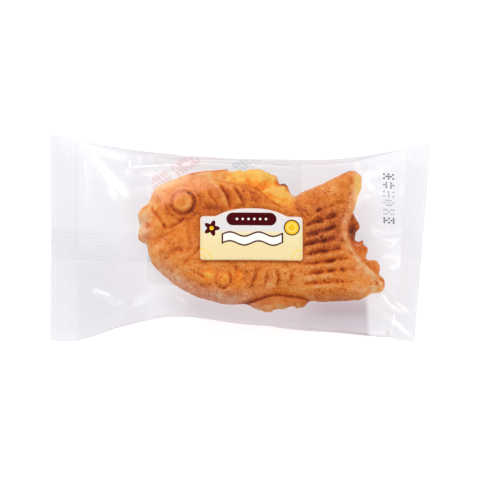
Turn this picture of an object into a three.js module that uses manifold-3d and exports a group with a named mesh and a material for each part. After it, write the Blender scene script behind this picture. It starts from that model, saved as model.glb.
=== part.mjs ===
// A fish-shaped filled waffle cake (taiyaki) sealed in a clear pillow bag, with a plaque sticker on the bag.
// Millimetres, +Z up. The pack lies on its back on z = 0, head towards -X, the fish's back towards +Y.
// The bag with all that it holds is one solid: the cake stands out of its upper film in relief.
import * as THREE from 'three';
import { mergeVertices } from 'three/addons/utils/BufferGeometryUtils.js';
import Module from 'manifold-3d';

// ---- Driving dimensions -------------------------------------------------------------------------------------

// The bag, flat at both crimped ends and filled between them
const SEAL_HEIGHT = 9; // both end seals hover at this height
const LEFT_SEAL = { outer: -100, inner: -85.2, slant: -0.016 };
const RIGHT_SEAL = { outer: 96, inner: 84.9, slant: 0.094 };
const SLANT_START = 25; // the ends' slant grows from this far off the middle
const BACK_EDGE = [[-101, 55.5], [-60, 47.6], [-22, 42.4], [20, 40.6], [54, 41.9], [84, 48.1], [101, 52]];
const FRONT_EDGE = [[-101, -54.8], [-84, -54.6], [-62, -46.8], [-34, -41.4], [0, -45], [60, -52], [101, -55.6]];
const FILM_RISE = 16.6; // top of the film at the middle, over the seals
const FOLD_RISE = 3.2; // the side folds, over the seals
const REST_LENGTH = 58; // half the length of the flat that it rests on
const FOLDS = [ // creases in the upper film: middle, direction in degrees, length, half width, height
  { x: -71, y: 27, turn: 57, length: 50, half: 9, height: 2.4 },
  { x: -70, y: -36, turn: 28, length: 38, half: 8, height: 2.2 },
  { x: 73, y: -36, turn: -36, length: 44, half: 8, height: 2.4 },
  { x: 76, y: 20, turn: 62, length: 40, half: 8, height: 1.8 },
];
const RIB = { pitch: 1.9, depth: 0.55 }; // knurl of the end seals
const SEAL_THICKNESS = 0.7;
const FIN = { back: 4.2, front: -10.8, stand: 0.6, pitch: 2.5, depth: 0.25 }; // seal along the underside

// The cake: a dome each side of the seam where the two mould halves meet
const SEAM_HEIGHT = 14.5;
const BODY_HEIGHT = 14; // the body's dome over the seam
const TAIL_HEIGHT = 9.6;
const LIP_HEIGHT = 8.6;
const DOME_RUN = 15; // the dome rises over this far in from the outline
const RIM = 2; // the least that the relief stands over the film
const EYE = { x: -29.9, y: 15.8, dome: 4.7, groove: 5.6, ring: 7.6 };
const SCALE = { length: 6, width: 5.2, reachX: 4.5, reachY: 3.47, height: 1 };
const TAIL_RIBS = { count: 8, from: 33.5, to: 52, firstFrom: 8.7, firstTo: 16, stepFrom: 5.05, stepTo: 5.9 };
const RAYS = { x: -33.5, y: -16.2, count: 6, first: 2, last: -64, reach: 23 };

// The sticker
const LABEL = { x: 5.65, y: -3.9, length: 53, width: 23, arch: 4.2, archHalf: 18.5, corner: 1.6, thickness: 0.35 };
const LABEL_BED = { x: -6, y: -2, height: 28.5, bendX: 0.0016, bendY: 0.0018, margin: 5 };
const GAP = 0.3; // clear space between the sticker and the film

// Mesh sizes
const PILLOW_STEPS = { along: 38, around: 36 };
const CAKE_STEP = { x: SCALE.length / 4, y: SCALE.width / 3 }; // whole steps to a scale
const LABEL_STEP = 4;

// ---- Small helpers ------------------------------------------------------------------------------------------

const wasm = await Module();
wasm.setup();

const { clamp, lerp, smoothstep, degToRad } = THREE.MathUtils;

/** A smooth curve's height at x, through the given [x, height] stations. */
function along(stations, x) {
  const last = stations.length - 2;
  let i = 0;
  while (i < last && x > stations[i + 1][0]) i += 1;
  const slope = (k) => {
    const a = stations[Math.max(k - 1, 0)];
    const b = stations[Math.min(k + 1, stations.length - 1)];
    return (b[1] - a[1]) / (b[0] - a[0]);
  };
  const [x0, y0] = stations[i];
  const [x1, y1] = stations[i + 1];
  const run = x1 - x0;
  const t = clamp((x - x0) / run, 0, 1);
  const rest = 1 - t;
  return rest * rest * (1 + 2 * t) * y0 + t * t * (3 - 2 * t) * y1
    + t * rest * run * (rest * slope(i) - t * slope(i + 1));
}

/** Distance from (x, y) to the line through the given points. */
function distanceTo(points, x, y) {
  let best = Infinity;
  for (let i = 1; i < points.length; i += 1) {
    const [ax, ay] = points[i - 1];
    const dx = points[i][0] - ax;
    const dy = points[i][1] - ay;
    const t = clamp(((x - ax) * dx + (y - ay) * dy) / (dx * dx + dy * dy || 1), 0, 1);
    best = Math.min(best, Math.hypot(x - ax - t * dx, y - ay - t * dy));
  }
  return best;
}

/** A rounded bump, 1 at distance 0 and 0 from the half width on. */
const bump = (distance, half) => (1 - smoothstep(distance, 0, half));

/** A triangle wave between -1 and 1. */
const zigzag = (value, pitch) => 4 * Math.abs(value / pitch - Math.floor(value / pitch + 0.5)) - 1;

/** Moves every vertex of a geometry by a function of its place. */
function mapVertices(geometry, place) {
  const position = geometry.attributes.position;
  const point = new THREE.Vector3();
  for (let i = 0; i < position.count; i += 1) {
    point.fromBufferAttribute(position, i);
    position.setXYZ(i, ...place(point.x, point.y, point.z));
  }
  return geometry;
}

/** A closed three.js geometry as a solid that can be joined and cut. */
function toSolid(geometry) {
  geometry.deleteAttribute('normal');
  geometry.deleteAttribute('uv');
  const merged = mergeVertices(geometry, 1e-4);
  return new wasm.Manifold(new wasm.Mesh({
    numProp: 3,
    vertProperties: new Float32Array(merged.attributes.position.array),
    triVerts: new Uint32Array(merged.index.array),
  }));
}

/** A solid back as a three.js geometry. */
function toGeometry(solid) {
  const mesh = solid.getMesh();
  const geometry = new THREE.BufferGeometry();
  geometry.setAttribute('position', new THREE.BufferAttribute(mesh.vertProperties, 3));
  geometry.setIndex(new THREE.BufferAttribute(mesh.triVerts, 1));
  geometry.computeVertexNormals();
  return geometry;
}

/** A closed slab over a rectangle, its two faces gridded and set by functions of (x, y). */
function slab({ x0, x1, y0, y1, stepX, stepY, low, high }) {
  const box = new THREE.BoxGeometry(
    x1 - x0, y1 - y0, 1, Math.round((x1 - x0) / stepX), Math.round((y1 - y0) / stepY), 1,
  );
  box.translate((x0 + x1) / 2, (y0 + y1) / 2, 0);
  return toSolid(mapVertices(box, (x, y, z) => [x, y, z > 0 ? high(x, y) : low(x, y)]));
}

/** A tall straight prism over a flat shape. */
function prism(shape, curveSegments) {
  return toSolid(new THREE.ExtrudeGeometry(shape, { depth: 60, bevelEnabled: false, curveSegments }));
}

// ---- The film's form ----------------------------------------------------------------------------------------

/** How far a line across the bag leans along X, per millimetre of Y. */
function slantAt(x) {
  const end = x < 0 ? LEFT_SEAL : RIGHT_SEAL;
  const reach = (Math.abs(x) - SLANT_START) / (Math.abs(end.outer) - SLANT_START);
  return end.slant * Math.max(reach, 0) ** 1.5;
}

/** 1 at the bag's middle, 0 at the seals. */
const fullness = (x) => 1 - Math.min(Math.abs(x / LEFT_SEAL.inner), 1) ** 2.6;

const foldLine = (x) => SEAL_HEIGHT + FOLD_RISE * fullness(x);
const topLine = (x) => SEAL_HEIGHT + FILM_RISE * fullness(x) ** 0.9;
const underLine = (x) => SEAL_HEIGHT * smoothstep(Math.abs(x), REST_LENGTH - 6, 92) ** 1.15;

/** Height of one named crease over the film at a point. */
function foldHeight({ x, y, turn, length, half, height }, px, py) {
  const angle = degToRad(turn);
  const run = (px - x) * Math.cos(angle) + (py - y) * Math.sin(angle);
  const off = (py - y) * Math.cos(angle) - (px - x) * Math.sin(angle);
  return height * Math.max(1 - Math.abs(off) / half, 0) * bump(Math.abs(run), length / 2);
}

/** The film at a station along the bag and an angle round it: 0 at the back fold, 90 degrees on top. */
function filmPoint(station, angle) {
  const full = fullness(station);
  const back = along(BACK_EDGE, station);
  const front = along(FRONT_EDGE, station);
  const across = Math.sign(Math.cos(angle)) * Math.abs(Math.cos(angle)) ** 0.8;
  const rise = Math.abs(Math.sin(angle)) ** lerp(1.7, 0.75, full);
  const y = (back + front) / 2 + across * (back - front) / 2;
  const fold = foldLine(station);
  const x = station + slantAt(station) * y;
  if (angle < Math.PI) {
    const crease = FOLDS.reduce((sum, one) => sum + foldHeight(one, x, y), 0);
    return [x, y, lerp(fold, topLine(station), rise) + crease * rise];
  }
  return [x, y, Math.max(lerp(fold, underLine(station), Math.min(1.2 * rise, 1)), 0)];
}

/** Height of the upper or lower film over a point of the plan. */
function filmHeight(x, y, upper = true) {
  let station = x - slantAt(x) * y;
  station = x - slantAt(station) * y;
  const back = along(BACK_EDGE, station);
  const front = along(FRONT_EDGE, station);
  const across = clamp((y - (back + front) / 2) / ((back - front) / 2), -1, 1);
  const angle = Math.acos(Math.sign(across) * Math.abs(across) ** 1.25);
  return filmPoint(station, upper ? angle : 2 * Math.PI - angle)[2];
}

function pillow() {
  const half = (RIGHT_SEAL.inner - LEFT_SEAL.inner) / 2 + 0.8;
  const middle = (RIGHT_SEAL.inner + LEFT_SEAL.inner) / 2;
  const tube = new THREE.CylinderGeometry(1, 1, 2, PILLOW_STEPS.around, PILLOW_STEPS.along);
  tube.rotateZ(-Math.PI / 2);
  return toSolid(mapVertices(tube, (t, y, z) => {
    const station = middle + half * (1.35 * t - 0.35 * t ** 3);
    const angle = (Math.atan2(z, y) + 2 * Math.PI) % (2 * Math.PI);
    const onAxis = Math.hypot(y, z) < 0.5;
    const [px, py, pz] = filmPoint(station, onAxis ? Math.PI / 2 : angle);
    return onAxis ? [px, py, SEAL_HEIGHT] : [px, py, pz];
  }));
}

// ---- Seals --------------------------------------------------------------------------------------------------

/** How far a seal's edge has curled up or down from its plane. */
function curl(station, y) {
  const end = station < 0 ? LEFT_SEAL : RIGHT_SEAL;
  const reach = clamp((station - end.inner) / (end.outer - end.inner), 0, 1);
  return 0.9 * reach * Math.sin(y / 17 + Math.sign(station));
}

/** One crimped end: a thin strip with ribs across the bag. */
function endSeal({ outer, inner }) {
  const ribs = Math.round(Math.abs(outer - inner) / RIB.pitch);
  const strip = new THREE.BoxGeometry(Math.abs(outer - inner), 2, 2, ribs * 2, 6, 1);
  const middle = (outer + inner) / 2;
  return toSolid(mapVertices(strip, (x, v, side) => {
    const station = middle + x;
    const back = along(BACK_EDGE, station) + 0.2;
    const front = along(FRONT_EDGE, station) - 0.2;
    const y = lerp(front, back, (v + 1) / 2);
    const knurl = (RIB.depth / 2) * zigzag(station - outer, RIB.pitch);
    const z = SEAL_HEIGHT + curl(station, y) + knurl + side * SEAL_THICKNESS / 2;
    return [station + slantAt(station) * y, y, z];
  }));
}

/** One end of the ribbed seam along the underside, from an end seal to the flat that the pack rests on. */
function finSeal(sealed) {
  const outer = sealed + Math.sign(sealed) * 0.6;
  const inner = Math.sign(sealed) * REST_LENGTH;
  const film = (x, y) => filmHeight(x, y, false) + curl(x, y);
  const stand = (x) => lerp(-0.1, FIN.stand, smoothstep(Math.abs(x), REST_LENGTH + 4, REST_LENGTH + 14));
  return slab({
    x0: Math.min(outer, inner),
    x1: Math.max(outer, inner),
    y0: FIN.front,
    y1: FIN.back,
    stepX: 4,
    stepY: FIN.pitch / 2,
    low: (x, y) => film(x, y) - stand(x) - (FIN.depth / 2) * zigzag(y, FIN.pitch),
    high: (x, y) => film(x, y) + 0.3,
  });
}

// ---- The cake in the bag ------------------------------------------------------------------------------------

/** The outline at the seam, as named stretches from the mouth over the back and tail to the belly. */
const LIPS = [[-47.9, -7.7], [-49.2, -4.1], [-52.8, -1.6], [-53.6, 2.6], [-51.8, 6.6], [-52.9, 10.4], [-50.8, 14], [-47.2, 15.8]];
const BACK = [[-46.8, 20], [-44, 24.6], [-36.6, 29.1], [-24, 33.2], [-10, 34.9], [2, 35.2], [12, 34.9]];
const DORSAL_NOTCH = [[19.2, 31.6], [20, 28.4], [25.2, 26.4], [28.6, 20.9]];
const TAIL_UPPER = [[37.5, 25.3], [48, 29.6], [57, 33], [62.4, 30.9], [62.6, 25], [59.4, 15]];
const TAIL_END = [[58, 10], [60.8, 5], [61.4, 0.6], [65.6, -3.6], [67.4, -10.6], [72.4, -16.8], [75.8, -25], [73.6, -29.6]];
const TAIL_LOWER = [[66, -32.4], [54, -34], [40, -34.6]];
const BELLY_FLASH = [[33.4, -37.6], [24, -39.4], [12, -39.6], [3.6, -37.4]];
const BELLY = [[-6.5, -36.4], [-20, -33.2], [-33.6, -26.2], [-43.4, -17.6]];

const outline = new THREE.Shape();
outline.moveTo(...LIPS[0]);
for (const stretch of [LIPS.slice(1), BACK, DORSAL_NOTCH, TAIL_UPPER, TAIL_END, TAIL_LOWER, BELLY_FLASH, BELLY]) {
  outline.splineThru(stretch.map(([x, y]) => new THREE.Vector2(x, y)));
}
outline.closePath();
const edge = outline.getPoints(4).map((point) => [point.x, point.y]);
edge.push(edge[0]);

/** How far one height is taken up into a larger one without a crease. */
function smoothMax(a, b, blend) {
  const t = clamp(0.5 + (a - b) / (2 * blend), 0, 1);
  return lerp(b, a, t) + blend * t * (1 - t);
}

/** The moulded cake's top without its fine relief. */
function domeHeight(x, y) {
  const inset = clamp(distanceTo(edge, x, y) / DOME_RUN, 0, 1);
  const towardsTail = smoothstep(x, 22, 44);
  const towardsLips = 1 - smoothstep(x, -50, -38);
  const finDrop = 3.4 * smoothstep(y - along(BACK_RIDGE, x), -1, 1.6) * (1 - towardsTail);
  const height = lerp(lerp(BODY_HEIGHT, TAIL_HEIGHT, towardsTail), LIP_HEIGHT, towardsLips);
  return SEAM_HEIGHT + height * Math.sqrt(1 - (1 - inset) ** 2.4) - finDrop;
}

const BACK_RIDGE = [[-30, 34], [-12, 28.2], [5, 23.6], [20, 15.8], [34, 12]]; // where the body ends and the fin begins
const MOUTH = [[-45.6, 12.4], [-41.8, 6.6], [-38.1, 1.3], [-34.5, 3.9], [-30.4, 6]];
const JAW = [[-45.7, -16.1], [-41.6, -16.4], [-37.5, -14], [-32.8, -11.3], [-29.2, -8.7]];
const GILL = [[-26.7, 7.6], [-27.4, 0.8], [-26.2, -6.1], [-22.5, -11.3]];
const BELLY_FIN = [[14.6, -13.4], [18.2, -19.2], [18.8, -25], [15.4, -31]];
const TAIL_BAND = [[56, 31], [54.9, 20], [53.3, 10.5], [52.4, 3.6], [55, -7], [60.9, -17], [67.6, -28]];

function eyeRelief(x, y) {
  const r = Math.hypot(x - EYE.x, y - EYE.y);
  const dome = 1.5 * bump(r, EYE.dome);
  const groove = -1 * bump(Math.abs(r - EYE.groove), 1.3);
  return dome + groove + 0.8 * bump(Math.abs(r - EYE.ring), 1.8);
}

/** Overlapping round scales, each tilted up towards the tail and ending in a step. */
function scaleRelief(x, y) {
  let top = -1;
  const row = Math.floor(y / SCALE.width);
  for (let j = row - 1; j <= row + 2; j += 1) {
    const shift = (Math.abs(j) % 2) * SCALE.length / 2;
    const first = Math.floor((x - shift) / SCALE.length);
    for (let i = first - 1; i <= first + 2; i += 1) {
      const dx = (x - shift - i * SCALE.length) / SCALE.reachX;
      const dy = (y - j * SCALE.width) / SCALE.reachY;
      if (dx * dx + dy * dy < 1) top = Math.max(top, dx);
    }
  }
  return SCALE.height * (top - 0.3) / 2;
}

/** Ribs of the tail: grooves fanning a little from the body to the margin. */
function tailRelief(x, y) {
  const { count, from, to, firstFrom, firstTo, stepFrom, stepTo } = TAIL_RIBS;
  const t = clamp((x - from) / (to - from), 0, 1);
  const rib = (lerp(firstFrom, firstTo, t) - y) / lerp(stepFrom, stepTo, t);
  const inFan = smoothstep(rib, -0.6, -0.2) * (1 - smoothstep(rib, count - 0.8, count - 0.4));
  return -1.3 * inFan * bump(Math.abs(rib - Math.round(rib)), 0.34);
}

/** The breast fin: rays fanning from its root, on a low plate. */
function finRelief(x, y) {
  const { count, first, last, reach } = RAYS;
  const r = Math.hypot(x - RAYS.x, y - RAYS.y);
  const turn = THREE.MathUtils.radToDeg(Math.atan2(y - RAYS.y, x - RAYS.x));
  const ray = (first - turn) / (first - last) * count;
  const inside = smoothstep(ray, -0.4, 0) * (1 - smoothstep(ray, count, count + 0.4))
    * smoothstep(r, 2, 6) * (1 - smoothstep(r, reach - 1, reach + 1));
  return inside * (0.9 - 1.3 * bump(Math.abs(ray - Math.round(ray)), 0.36));
}

const groove = (line, x, y, half, depth) => -depth * bump(distanceTo(line, x, y), half);

/** All the moulded detail over the dome. */
function relief(x, y) {
  const onScales = smoothstep(x, -22, -17) * (1 - smoothstep(x, 27, 32))
    * (1 - smoothstep(y - along(BACK_RIDGE, x), -2, 0)) * smoothstep(y, -31, -27)
    * (1 - bump(Math.hypot((x - RAYS.x) / 1.25, y - RAYS.y), 24));
  const onTail = smoothstep(x, 31, 35) * smoothstep(distanceTo(TAIL_BAND, x, y), 0.8, 2.4)
    * (x > along(TAIL_BAND.map(([bx, by]) => [-by, bx]), -y) ? 0 : 1);
  return eyeRelief(x, y) + finRelief(x, y)
    + onScales * scaleRelief(x, y) + onTail * tailRelief(x, y)
    + groove(MOUTH, x, y, 2.2, 1.7) + groove(JAW, x, y, 2, 1.2) + groove(GILL, x, y, 1.8, 0.8)
    + groove(BELLY_FIN, x, y, 1.6, 0.9) + groove(TAIL_BAND, x, y, 1.7, 1)
    + groove([[-47, 5], [-55, 6.4]], x, y, 2.4, 1.6)
    + 1.2 * bump(Math.hypot(x + 8, y + 25), 3.6) + 1.1 * bump(Math.hypot((x + 38) / 1.3, y + 9.5), 6);
}

const labelBed = (x, y) => LABEL_BED.height
  - LABEL_BED.bendX * (x - LABEL_BED.x) ** 2 - LABEL_BED.bendY * (y - LABEL_BED.y) ** 2;

/** Top of the cake as it stands out of the film, level under the sticker. */
function cakeTop(x, y) {
  const cake = smoothMax(domeHeight(x, y), filmHeight(x, y) + RIM, 1.5) + relief(x, y);
  const dx = Math.max(Math.abs(x - LABEL.x) - LABEL.length / 2, 0);
  const dy = Math.max(Math.abs(y - LABEL.y - LABEL.arch / 2) - (LABEL.width + LABEL.arch) / 2, 0);
  return lerp(labelBed(x, y), cake, smoothstep(Math.hypot(dx, dy), 0.8, LABEL_BED.margin));
}

function cakeInFilm() {
  const block = slab({
    x0: -38 * CAKE_STEP.x,
    x1: 52 * CAKE_STEP.x,
    y0: -24 * CAKE_STEP.y,
    y1: 22 * CAKE_STEP.y,
    stepX: CAKE_STEP.x,
    stepY: CAKE_STEP.y,
    low: () => SEAL_HEIGHT,
    high: cakeTop,
  });
  return block.intersect(prism(outline, 3));
}

// ---- The sub-parts ------------------------------------------------------------------------------------------

function bag() {
  const solid = [
    endSeal(LEFT_SEAL), endSeal(RIGHT_SEAL), finSeal(LEFT_SEAL.inner), finSeal(RIGHT_SEAL.inner), cakeInFilm(),
  ].reduce((whole, piece) => whole.add(piece), pillow());
  const material = new THREE.MeshStandardMaterial({ color: 0xd69a5c, roughness: 0.35, metalness: 0 });
  return new THREE.Mesh(toGeometry(solid), material);
}

/** The sticker: a rounded plaque with a low arch along its upper edge. */
function label() {
  const { length, width, arch, archHalf, corner, thickness } = LABEL;
  const right = length / 2;
  const top = width / 2;
  const shape = new THREE.Shape();
  shape.moveTo(-right + corner, -top);
  shape.lineTo(right - corner, -top);
  shape.quadraticCurveTo(right, -top, right, -top + corner);
  shape.lineTo(right, top - corner);
  shape.quadraticCurveTo(right, top, right - corner, top);
  shape.lineTo(archHalf, top);
  shape.quadraticCurveTo(0, top + 2 * arch, -archHalf, top);
  shape.lineTo(-right + corner, top);
  shape.quadraticCurveTo(-right, top, -right, top - corner);
  shape.lineTo(-right, -top + corner);
  shape.quadraticCurveTo(-right, -top, -right + corner, -top);
  const sheet = slab({
    x0: -right - 1,
    x1: right + 1,
    y0: -top - 1,
    y1: top + arch + 1,
    stepX: LABEL_STEP,
    stepY: LABEL_STEP,
    low: (x, y) => labelBed(x + LABEL.x, y + LABEL.y) + GAP,
    high: (x, y) => labelBed(x + LABEL.x, y + LABEL.y) + GAP + thickness,
  });
  const material = new THREE.MeshStandardMaterial({ color: 0xf3eed3, roughness: 0.45, metalness: 0 });
  const mesh = new THREE.Mesh(toGeometry(sheet.intersect(prism(shape, 12))), material);
  mesh.position.set(LABEL.x, LABEL.y, 0);
  return mesh;
}

const pack = new THREE.Group();
for (const [name, mesh] of Object.entries({ bag: bag(), label: label() })) {
  mesh.name = name;
  pack.add(mesh);
}

export default pack;
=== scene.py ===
import bpy
import numpy as np
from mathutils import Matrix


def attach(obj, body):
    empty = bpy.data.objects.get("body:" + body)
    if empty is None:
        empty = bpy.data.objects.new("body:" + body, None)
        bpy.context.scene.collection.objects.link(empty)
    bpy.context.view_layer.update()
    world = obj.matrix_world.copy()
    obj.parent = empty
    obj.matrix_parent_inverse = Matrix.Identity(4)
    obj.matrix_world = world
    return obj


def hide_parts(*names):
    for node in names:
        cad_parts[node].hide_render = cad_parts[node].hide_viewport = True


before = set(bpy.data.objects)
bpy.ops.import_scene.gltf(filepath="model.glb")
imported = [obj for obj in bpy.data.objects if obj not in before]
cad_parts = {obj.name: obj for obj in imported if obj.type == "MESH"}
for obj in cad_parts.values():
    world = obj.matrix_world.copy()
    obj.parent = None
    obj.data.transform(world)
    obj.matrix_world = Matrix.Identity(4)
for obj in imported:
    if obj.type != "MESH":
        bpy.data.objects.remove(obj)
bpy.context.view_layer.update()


# ---- The camera ------------------------------------------------------------------------------------
# A long lens looks down on the pack from 80 degrees, square to its length.
rise = np.radians(80.0)
aim = np.array([0.0049, -0.0073, 0.012])
away = np.array([0.0, -np.cos(rise), np.sin(rise)])
camera = bpy.data.objects.new("camera", bpy.data.cameras.new("camera"))
camera.data.lens, camera.data.sensor_width = 151.1, 36.0
camera.data.clip_start, camera.data.clip_end = 0.05, 20.0
camera.location = aim + 1.10 * away
camera.rotation_euler = (np.pi / 2 - rise, 0.0, 0.0)
bpy.context.scene.collection.objects.link(camera)
bpy.context.scene.camera = camera


# ---- The cake --------------------------------------------------------------------------------------
# A waffle batter fish baked between two mould halves, so it is a dome each side of a seam, with the
# fish's relief pressed in and a ragged flash of spilt batter along the seam at back, tail and belly.
SEAM = 14.5  # height of the seam over the floor
LOWEST_CAKE = 2.3
CELL = 0.5  # spacing of the points that the cake is worked out on


def curve_through(points, steps=6, closed=False):
    """Catmull-Rom curve: each stretch is the cubic that passes two points along their neighbours' chords."""
    p = np.asarray(points, float)
    p = np.vstack([p[-1:], p, p[:2]]) if closed else np.vstack([2 * p[0] - p[1], p, 2 * p[-1] - p[-2]])
    t = np.linspace(0, 1, steps, endpoint=False)[:, None]
    runs = [b + 0.5 * t * (c - a) + t**2 * (a - 2.5 * b + 2 * c - 0.5 * d)
            + t**3 * (1.5 * (b - c) + 0.5 * (d - a))
            for a, b, c, d in zip(p[:-3], p[1:-2], p[2:-1], p[3:])]
    return np.vstack(runs + ([] if closed else [p[-2:-1]]))


def distance_to(line, x, y):
    """Least distance from each (x, y) to a polyline, leg by leg."""
    best = np.full(x.shape, 1e9)
    for (ax, ay), (bx, by) in zip(line[:-1], line[1:]):
        dx, dy = bx - ax, by - ay
        t = np.clip(((x - ax) * dx + (y - ay) * dy) / max(dx * dx + dy * dy, 1e-9), 0, 1)
        best = np.minimum(best, np.hypot(x - ax - t * dx, y - ay - t * dy))
    return best


def depth_inside(line, x, y):
    """Distance to a closed polyline, counted positive inside it by the even-odd rule."""
    loop = np.vstack([line, line[:1]])
    odd = np.zeros(x.shape, bool)
    for (ax, ay), (bx, by) in zip(loop[:-1], loop[1:]):
        if ay != by:
            odd ^= ((ay > y) != (by > y)) & (x < (bx - ax) * (y - ay) / (by - ay) + ax)
    return np.where(odd, 1, -1) * distance_to(loop, x, y)


def ease(value, low, high):
    """0 below low, 1 above high, and a smooth cubic step between."""
    t = np.clip((value - low) / (high - low), 0, 1)
    return t * t * (3 - 2 * t)


def hump(distance, reach):
    """1 at distance 0, falling smoothly to 0 at reach."""
    return 1 - ease(distance, 0, reach)


def mottle(x, y, size, seed, octaves=3):
    """Value noise from -1 to 1: random heights on a lattice, eased between, each octave half the size."""
    rng = np.random.default_rng(seed)
    total, weight = np.zeros(np.shape(x)), 0.0
    for octave in range(octaves):
        lattice = rng.uniform(-1, 1, (256, 256))
        u, v = x / size * 2**octave + 100.3 * (octave + 1), y / size * 2**octave + 57.7 * (octave + 1)
        i, j = np.floor(u).astype(int), np.floor(v).astype(int)
        fu, fv = ease(u - i, 0, 1), ease(v - j, 0, 1)
        i, j, k, m = i % 256, j % 256, (i + 1) % 256, (j + 1) % 256
        low = lattice[i, j] * (1 - fu) + lattice[k, j] * fu
        high = lattice[i, m] * (1 - fu) + lattice[k, m] * fu
        total += 0.5**octave * (low * (1 - fv) + high * fv)
        weight += 0.5**octave
    return total / weight


def blurred(grid, times):
    """Binomial blur: each pass averages a cell with its neighbours, 1-2-1 along both axes."""
    for _ in range(times):
        for axis in (0, 1):
            pad = np.concatenate([grid.take([0], axis), grid, grid.take([-1], axis)], axis)
            n = grid.shape[axis]
            grid = (pad.take(range(n), axis) + 2 * grid + pad.take(range(2, n + 2), axis)) / 4
    return grid


# The body's outline, clockwise from under the lower lip, then the rims of the flash.
LIPS = [(-47.9, -9.4), (-48.3, -6.2), (-49.8, -4.2), (-52.0, -2.8), (-53.4, -0.4), (-53.3, 2.8), (-52.2, 5.4),
        (-53.2, 8.2), (-53.5, 11.0), (-52, 13.6), (-49.8, 15.2), (-48.0, 16.8)]
BACK = [(-46.8, 19.8), (-44.6, 24.2), (-40.8, 27.2), (-36.6, 29.3), (-31.9, 31.1), (-26.7, 32.7),
        (-20.9, 33.9), (-13.5, 34.6), (-6.2, 34.3), (1.2, 31.8), (10.2, 28.6), (19.1, 24.3), (28, 20.5)]
TAIL = [(32.2, 22.6), (37.5, 24.8), (42.8, 27.2), (48, 29.6), (53.3, 32.1), (57.5, 33.8), (60.9, 33.3),
        (63.2, 30.7), (63, 26), (61.5, 21.2), (60, 15.6), (58.6, 11.4), (57.2, 7.5), (56.5, 3), (57, -1.5),
        (59, -6), (61.6, -10.4), (65, -14.4), (68.8, -18), (72.2, -21.6), (74.5, -25.2), (74.3, -28.6),
        (71.6, -30.2), (67.6, -30.6), (65, -32.2), (60, -34), (52, -34.5), (44, -35), (36.1, -34.6)]
BELLY = [(32.4, -33.4), (28.3, -32.5), (23.1, -31.9), (17.4, -31.5), (12.7, -32.6), (8, -34.2), (3.5, -35.6),
         (-2, -36.3), (-8, -36.2), (-14.4, -34.7), (-21.1, -32.9), (-27.4, -30), (-33.7, -26.3), (-38.9, -22),
         (-43.6, -17.3), (-46.6, -12.6)]
BACK_FLASH = [(-9, 34.5), (-5.1, 34.2), (2.3, 34.9), (6.5, 35.4), (10.2, 35.6), (13.3, 34.4), (16.5, 32.7),
              (19.3, 30.6), (19.9, 27.6), (23.3, 27.1), (25.1, 25.6), (26.2, 22.6), (28.6, 20.4)]
TAIL_FLASH = [(58.9, 12.0), (61.0, 7.9), (62.1, 4.4), (60.6, 1.6), (59.9, -1.2), (61.0, -3.4), (63.0, -2.9),
              (64.9, -1.4), (64.3, -4.2), (66.2, -6.1), (66.3, -9.3), (65.4, -12.3), (67.6, -13.3),
              (70.7, -13.6), (72.5, -15.9), (72.3, -18.3), (72.2, -20.7), (74.0, -22.4), (75.6, -24.8),
              (75.4, -27.4), (73.6, -29.4), (70.6, -30.3)]
BELLY_FLASH = [(37.6, -34.6), (35.1, -35.6), (32.9, -38.2), (30.6, -38.5), (26.8, -37.6), (23.1, -38.5),
               (18, -39.0), (15.8, -40.4), (11.1, -40.1), (7.5, -38.8), (2.6, -36.4), (-1, -35.8)]
# The ridge under the back's flash and the raised margin round the tail.
RIDGE = [(-30, 26.5), (-23.7, 25.9), (-18.5, 26.9), (-13.3, 27.2), (-9.7, 26.6), (-4.5, 25.3), (2.3, 24.5),
         (7.5, 23.2), (11.1, 20.5), (14.3, 17.3), (18.9, 14.2), (23.1, 12.6), (27.8, 11.5), (34, 11.2)]
MARGIN = [(60.6, 34), (59.3, 25.8), (58.9, 20.5), (57.6, 16.2), (56.4, 12.3), (54.9, 8.6), (54.2, 4.0),
          (54.1, -0.8), (56.0, -5.0), (58.2, -8.7), (60.6, -12.6), (64.2, -17), (67.7, -21.4),
          (69.4, -26.1), (68.6, -31)]
EYE = (-30.0, 15.4)
FIN_ROOT = (-34.5, -15.6)
KNOB = (-8.9, -25.0)
GROOVES = [  # points, half width, depth
    ([(-46.3, 15.7), (-45.9, 12.0), (-43.6, 8.7), (-40.9, 5.1), (-38.0, 1.9)], 1.2, 1.5),
    ([(-38.0, 1.9), (-35.1, 2.8), (-31.8, 5.1), (-29.5, 7.0)], 1.2, 1.3),
    ([(-53.5, 5.0), (-51.4, 4.9), (-48.8, 4.2)], 1.5, 0.8),
    ([(-50, -4.6), (-47.2, -3.8), (-43.0, -3.4), (-38.5, -1.6), (-34.6, 0.5)], 1.1, 0.9),
    ([(-43.3, -15.6), (-40.2, -15.0), (-37.6, -13.5), (-35.5, -10.8), (-31.4, -9.2), (-26.2, -9.2)],
     1.7, 0.7),
    ([(-27.2, 5.5), (-27.0, 1.8), (-27.2, -1.4), (-26.1, -6.6), (-23.5, -11.3)], 1.5, 0.5),
    ([(-21.9, -9.4), (-23.5, -11.3), (-26.1, -14.0), (-29.2, -16.1)], 1.5, 0.8),
    ([(5, 22.0), (9.0, 18.8), (14.5, 15.0), (20.5, 12.6)], 1.3, 0.6),
    ([(4.0, 28.4), (7.5, 25.6), (11.5, 23.6)], 1.9, 1.0),
    ([(14.5, 20.4), (18.5, 18.3), (22.5, 17.6)], 1.8, 0.8),
]
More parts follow.
